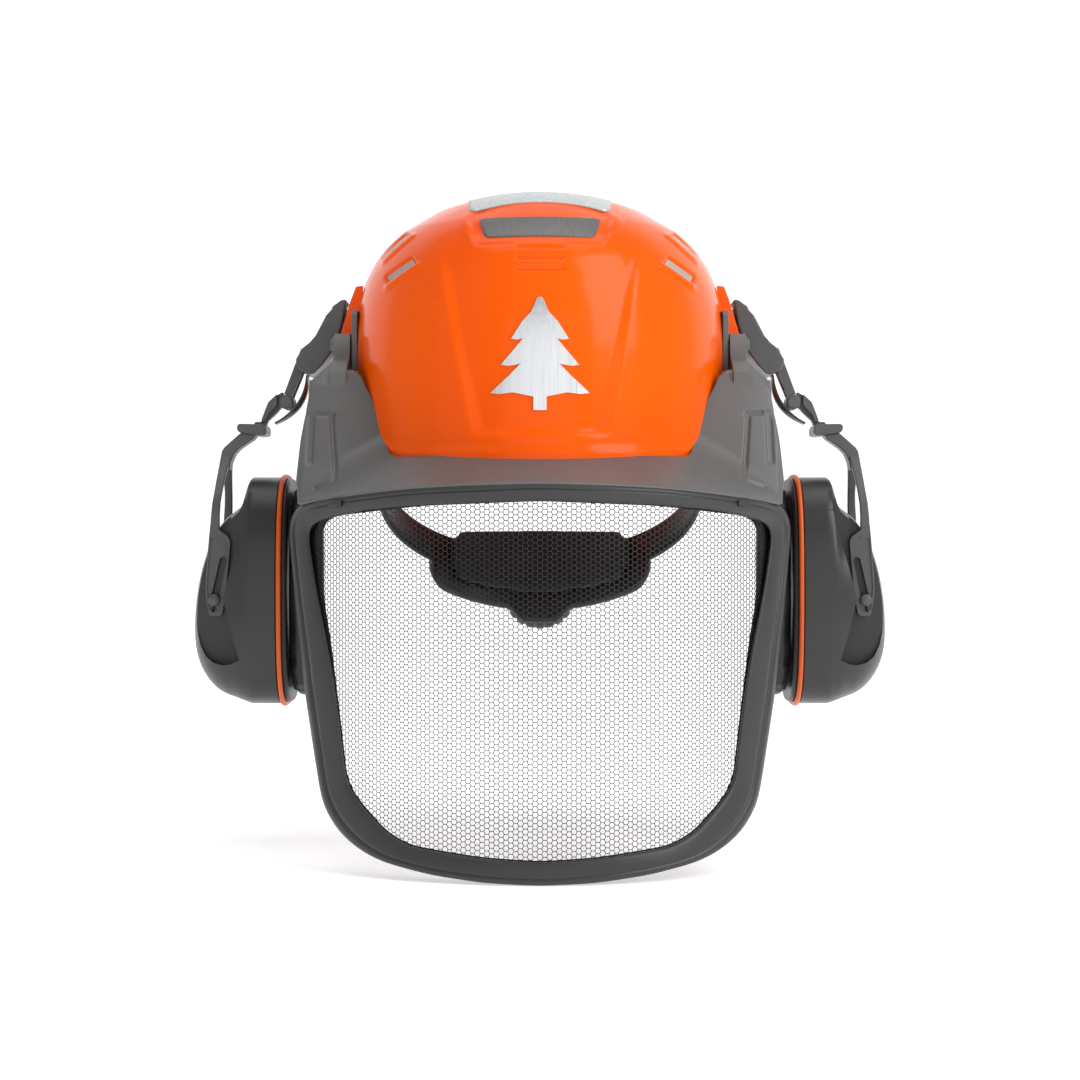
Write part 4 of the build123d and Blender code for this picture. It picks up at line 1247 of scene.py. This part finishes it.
def band_piece(name, band, material, body, nodes, inflate=None):
    """A band's piece; inflate gives the pressure and the cap of a cushion's cloth sim."""
    piece = make_object(name, *band, material)
    if inflate:
        swell(piece, *inflate, voxel=0.003)
    settle(piece, body, nodes)


def build_suspension():
    """Headband, sweatband, crown straps and the clips that hold them in the shell."""
    band = band_mesh(86, 103, 2.0, lambda a: 2 + 12 * smooth(0.62, 0.8, math.sin(a)), 30)
    band_piece("head_band", band, MAT["harness_black"], "helmet", ["headband"])
    pad = band_mesh(83.6, 100.6, 3.2, 0.6, 29.4, math.radians(186), math.radians(354), 110, 1.4, 7.0)
    band_piece("sweat_pad", pad, MAT["pad_black"], "helmet", ["sweatband"], (3.0, 0.7))

    count = 80
    a = np.linspace(0.17, math.pi - 0.17, count)
    straps = []
    for layer, turn in enumerate((0, 60, 120)):
        reach = 87.6 if turn == 0 else 91.6
        rows = []
        for off, width in ((0, -9), (0, 9), (-1.3, 9), (-1.3, -9)):
            height = 22 + (103.0 + off) * np.sin(a) - 14 * np.sin(a) ** 8 + 0.35 * layer
            rows.append(np.stack([(reach + off) * np.cos(a), np.full(count, float(width)), height], axis=1))
        faces = grid_faces(4, count, close_rows=True)
        faces += [(0, 80, 160, 240), (319, 239, 159, 79)]
        straps.append((spun(np.vstack(rows), turn), faces))
    points, faces = join_meshes(straps)
    make_object("cradle_straps", points, faces, MAT["strap_textile"], "helmet", ["crown_straps"])

    clips = []
    for turn in range(0, 360, 60):
        reach = 88 if turn in (0, 180) else 92
        view = [(reach - 5.6, 30.5), (reach - 1.2, 30.5), (reach - 1.2, 38.0), (reach - 2.0, 43.0),
                (reach - 3.6, 43.4), (reach - 5.0, 40.0)]
        points, faces = prism_mesh(view, "xz", -10, 10)
        clips.append((spun(points, turn), faces))
    moulding("cradle_clips", clips, 0.8, MAT["harness_black"], "helmet", ["harness_clips"])


def house_low(a):
    """Lower edge of the nape housing; its middle dips into a smooth hood in front of the knob."""
    return -27.0 + 5.0 * (1 - math.sin(a)) - 8.6 * smooth(21.0, 9.0, abs(100 * math.cos(a)))


def house_top(a):
    return -44.0 + 67.0 * math.sin(a)


def pad_top(a):
    """Upper edge of the nape pad, level as seen from the front."""
    return -41.7 + 66.7 * math.sin(a)


def build_nape():
    """Nape strap, its ribbed housing and its pad."""
    square, faces = band_mesh(94, 114, 2.2, -10.5, 10.5, 0.02, math.pi - 0.02, 150)
    # the sides run straight back before they turn round the nape
    corner = np.sin(np.clip(2 * np.arctan2(square[:, 1], np.abs(square[:, 0])), 0, math.pi)) ** 2
    square[:, 0] *= 1 + 0.055 * corner
    square[:, 1] *= 1 + 0.022 * corner
    band_piece("nape_strap", (tilt_nape(square), faces), MAT["harness_black"], "nape_adjuster",
               ["nape_straps"])

    edge = math.acos(67 / 100)
    parts = [band_mesh(99.6, 119.6, 5.2, house_low, house_top, edge, math.pi - edge, 160, 1.8, 13.0)]
    for k in (-4, -3, -2, 2, 3, 4):
        a = math.pi / 2 + 0.115 * k
        parts.append(band_mesh(100.4, 120.4, 1.6, -13, 12, a - 0.018, a + 0.018, 6, 0.5))
    points, faces = join_meshes(parts)
    band_piece("nape_cover", (tilt_nape(points), faces), MAT["harness_black"], "nape_adjuster",
               ["nape_housing"])

    edge = math.acos(53 / 91)
    points, faces = band_mesh(91.2, 111.2, 4.2, -19.5, pad_top, edge, math.pi - edge, 120, 1.6, 9.0)
    band_piece("nape_pad", (tilt_nape(points), faces), MAT["pad_black"], "nape_adjuster", ["nape_cushion"],
               (3.0, 0.8))


def build_knob():
    """Ribbed size knob behind the nape housing."""
    sides, ribs, knob_z = 160, 20, -12
    a = np.linspace(0, 2 * math.pi, sides, endpoint=False)
    rows = []
    for r, along in ((6.0, 120.9), (20.0, 120.9), (21.0, 121.6), (21.8, 123.0), (21.6, 129.0), (20.6, 130.8),
                     (18.6, 131.7), (12.0, 131.9), (10.5, 131.1), (0.5, 131.0)):
        depth = 1.2 if r > 19 else 0.0
        radius = r - depth * (0.5 - 0.5 * np.cos(ribs * a)) ** 3
        height = knob_z + radius * np.sin(a)
        rows.append(np.stack([radius * np.cos(a), np.full(sides, along), height], axis=1))
    faces = grid_faces(len(rows), sides, close_columns=True)
    faces += [tuple(range(sides)), tuple(reversed(range((len(rows) - 1) * sides, len(rows) * sides)))]
    make_object("nape_knob_grip", tilt_nape(np.vstack(rows)), faces, MAT["harness_black"], "nape_knob",
                ["size_knob"])


def build_eyelets():
    """Chin strap eyelets on stems behind the rear rim."""
    count = 28
    turns = [2 * math.pi * i / count for i in range(count)]
    hole = [(72 + 2.6 * math.cos(a), -8 + 2.6 * math.sin(a)) for a in turns]
    outline = [(72 + 6.6 * math.cos(a), -8 + 6.2 * math.sin(a)) for a in turns]
    ring = loft([[(x, y, z) for y, z in loop] for loop, x in
                 ((hole, 86.0), (outline, 86.0), (outline, 88.9), (hole, 88.9))])
    # the stem starts above the hole
    stem = prism_mesh([(67.2, -2.6), (74.4, -2.6), (73.6, 20), (66.4, 20)], "yz", 85.9, 88.2)
    parts = [(sided(points, side), faces) for side in (1, -1) for points, faces in (ring, stem)]
    moulding("chin_eyelets", parts, 0.4, MAT["harness_black"], "helmet", ["chin_strap_anchors"], flat=True)


build_shell()
build_films()
build_emblem()
build_vents()
build_pockets()
build_brow()
build_frame()
build_mesh()
for side_name, sign in SIDES:
    build_cup(side_name, sign)
build_cushions()
build_cup_foam()
build_arms()
build_suspension()
build_nape()
build_knob()
build_eyelets()

# CAD nodes that stay as they are take the same finishes
KEPT = {"size_pinion": "harness_black"}
for side_name, _ in SIDES:
    KEPT[side_name + "_hinge_pin"] = "arm_grey"
    KEPT[side_name + "_swivel_stud"] = "steel"
for node, finish in KEPT.items():
    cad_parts[node].data.materials.clear()
    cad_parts[node].data.materials.append(MAT[finish])

# ------------------------------------------------------------------ floor, light, camera

FLOOR_Z = -0.215
CAMERA_DISTANCE, CAMERA_HEIGHT = 1.3, -0.041
# width of the view in the plane of the wearer's ears
VIEW_WIDTH = 0.6156


def build_stage():
    """Pale paper that runs up into a backdrop."""
    rows = []
    profile = [(-3.2, 0.0), (1.2, 0.0), (1.55, 0.05), (1.8, 0.2), (1.95, 0.5), (2.0, 0.9), (2.0, 3.2)]
    for y, z in profile:
        rows += [(-4.0, y, z + FLOOR_Z), (4.0, y, z + FLOOR_Z)]
    mesh = bpy.data.meshes.new("floor")
    mesh.from_pydata(rows, [], grid_faces(len(profile), 2))
    mesh.shade_smooth()
    m = Nodes("floor_paper")
    m.link(m.colours(m.noise(3.0), (0.90, 0.90, 0.90), (0.94, 0.94, 0.94)), m.shader.inputs["Base Color"])
    m.set(Roughness=0.85, Emission_Color=(1, 1, 1, 1), Emission_Strength=0.42)
    mesh.materials.append(m.material)
    link_object("floor", mesh)


def area_light(name, place, size, power):
    """A soft rectangular lamp that looks at the middle of the helmet."""
    data = bpy.data.lights.new(name, "AREA")
    data.shape = "RECTANGLE"
    data.size, data.size_y = size
    data.energy = power
    lamp = link_object(name, data)
    lamp.location = place
    lamp.rotation_euler = (-Vector(place)).to_track_quat("-Z", "Y").to_euler()


def build_camera():
    data = bpy.data.cameras.new("camera")
    data.sensor_width = 36.0
    data.lens = data.sensor_width * CAMERA_DISTANCE / VIEW_WIDTH
    camera = link_object("camera", data)
    camera.location = (0.0, -CAMERA_DISTANCE, CAMERA_HEIGHT)
    camera.rotation_euler = (math.radians(90), 0, 0)
    bpy.context.scene.camera = camera


build_stage()
area_light("key_right", (1.3, -1.0, 0.9), (1.0, 1.4), 20.0)
area_light("fill_left", (-1.4, -0.9, 0.5), (0.9, 1.5), 1.2)
area_light("top", (0.0, -0.2, 1.6), (1.6, 1.2), 9.0)
area_light("front", (0.0, -2.4, 0.2), (2.2, 1.2), 5.0)
world = bpy.data.worlds.new("studio")
world.use_nodes = True
world.node_tree.nodes["Background"].inputs["Color"].default_value = (0.95, 0.96, 1.0, 1)
world.node_tree.nodes["Background"].inputs["Strength"].default_value = 0.38
bpy.context.scene.world = world
bpy.context.scene.view_settings.view_transform = "Standard"
build_camera()

bpy.context.view_layer.update()
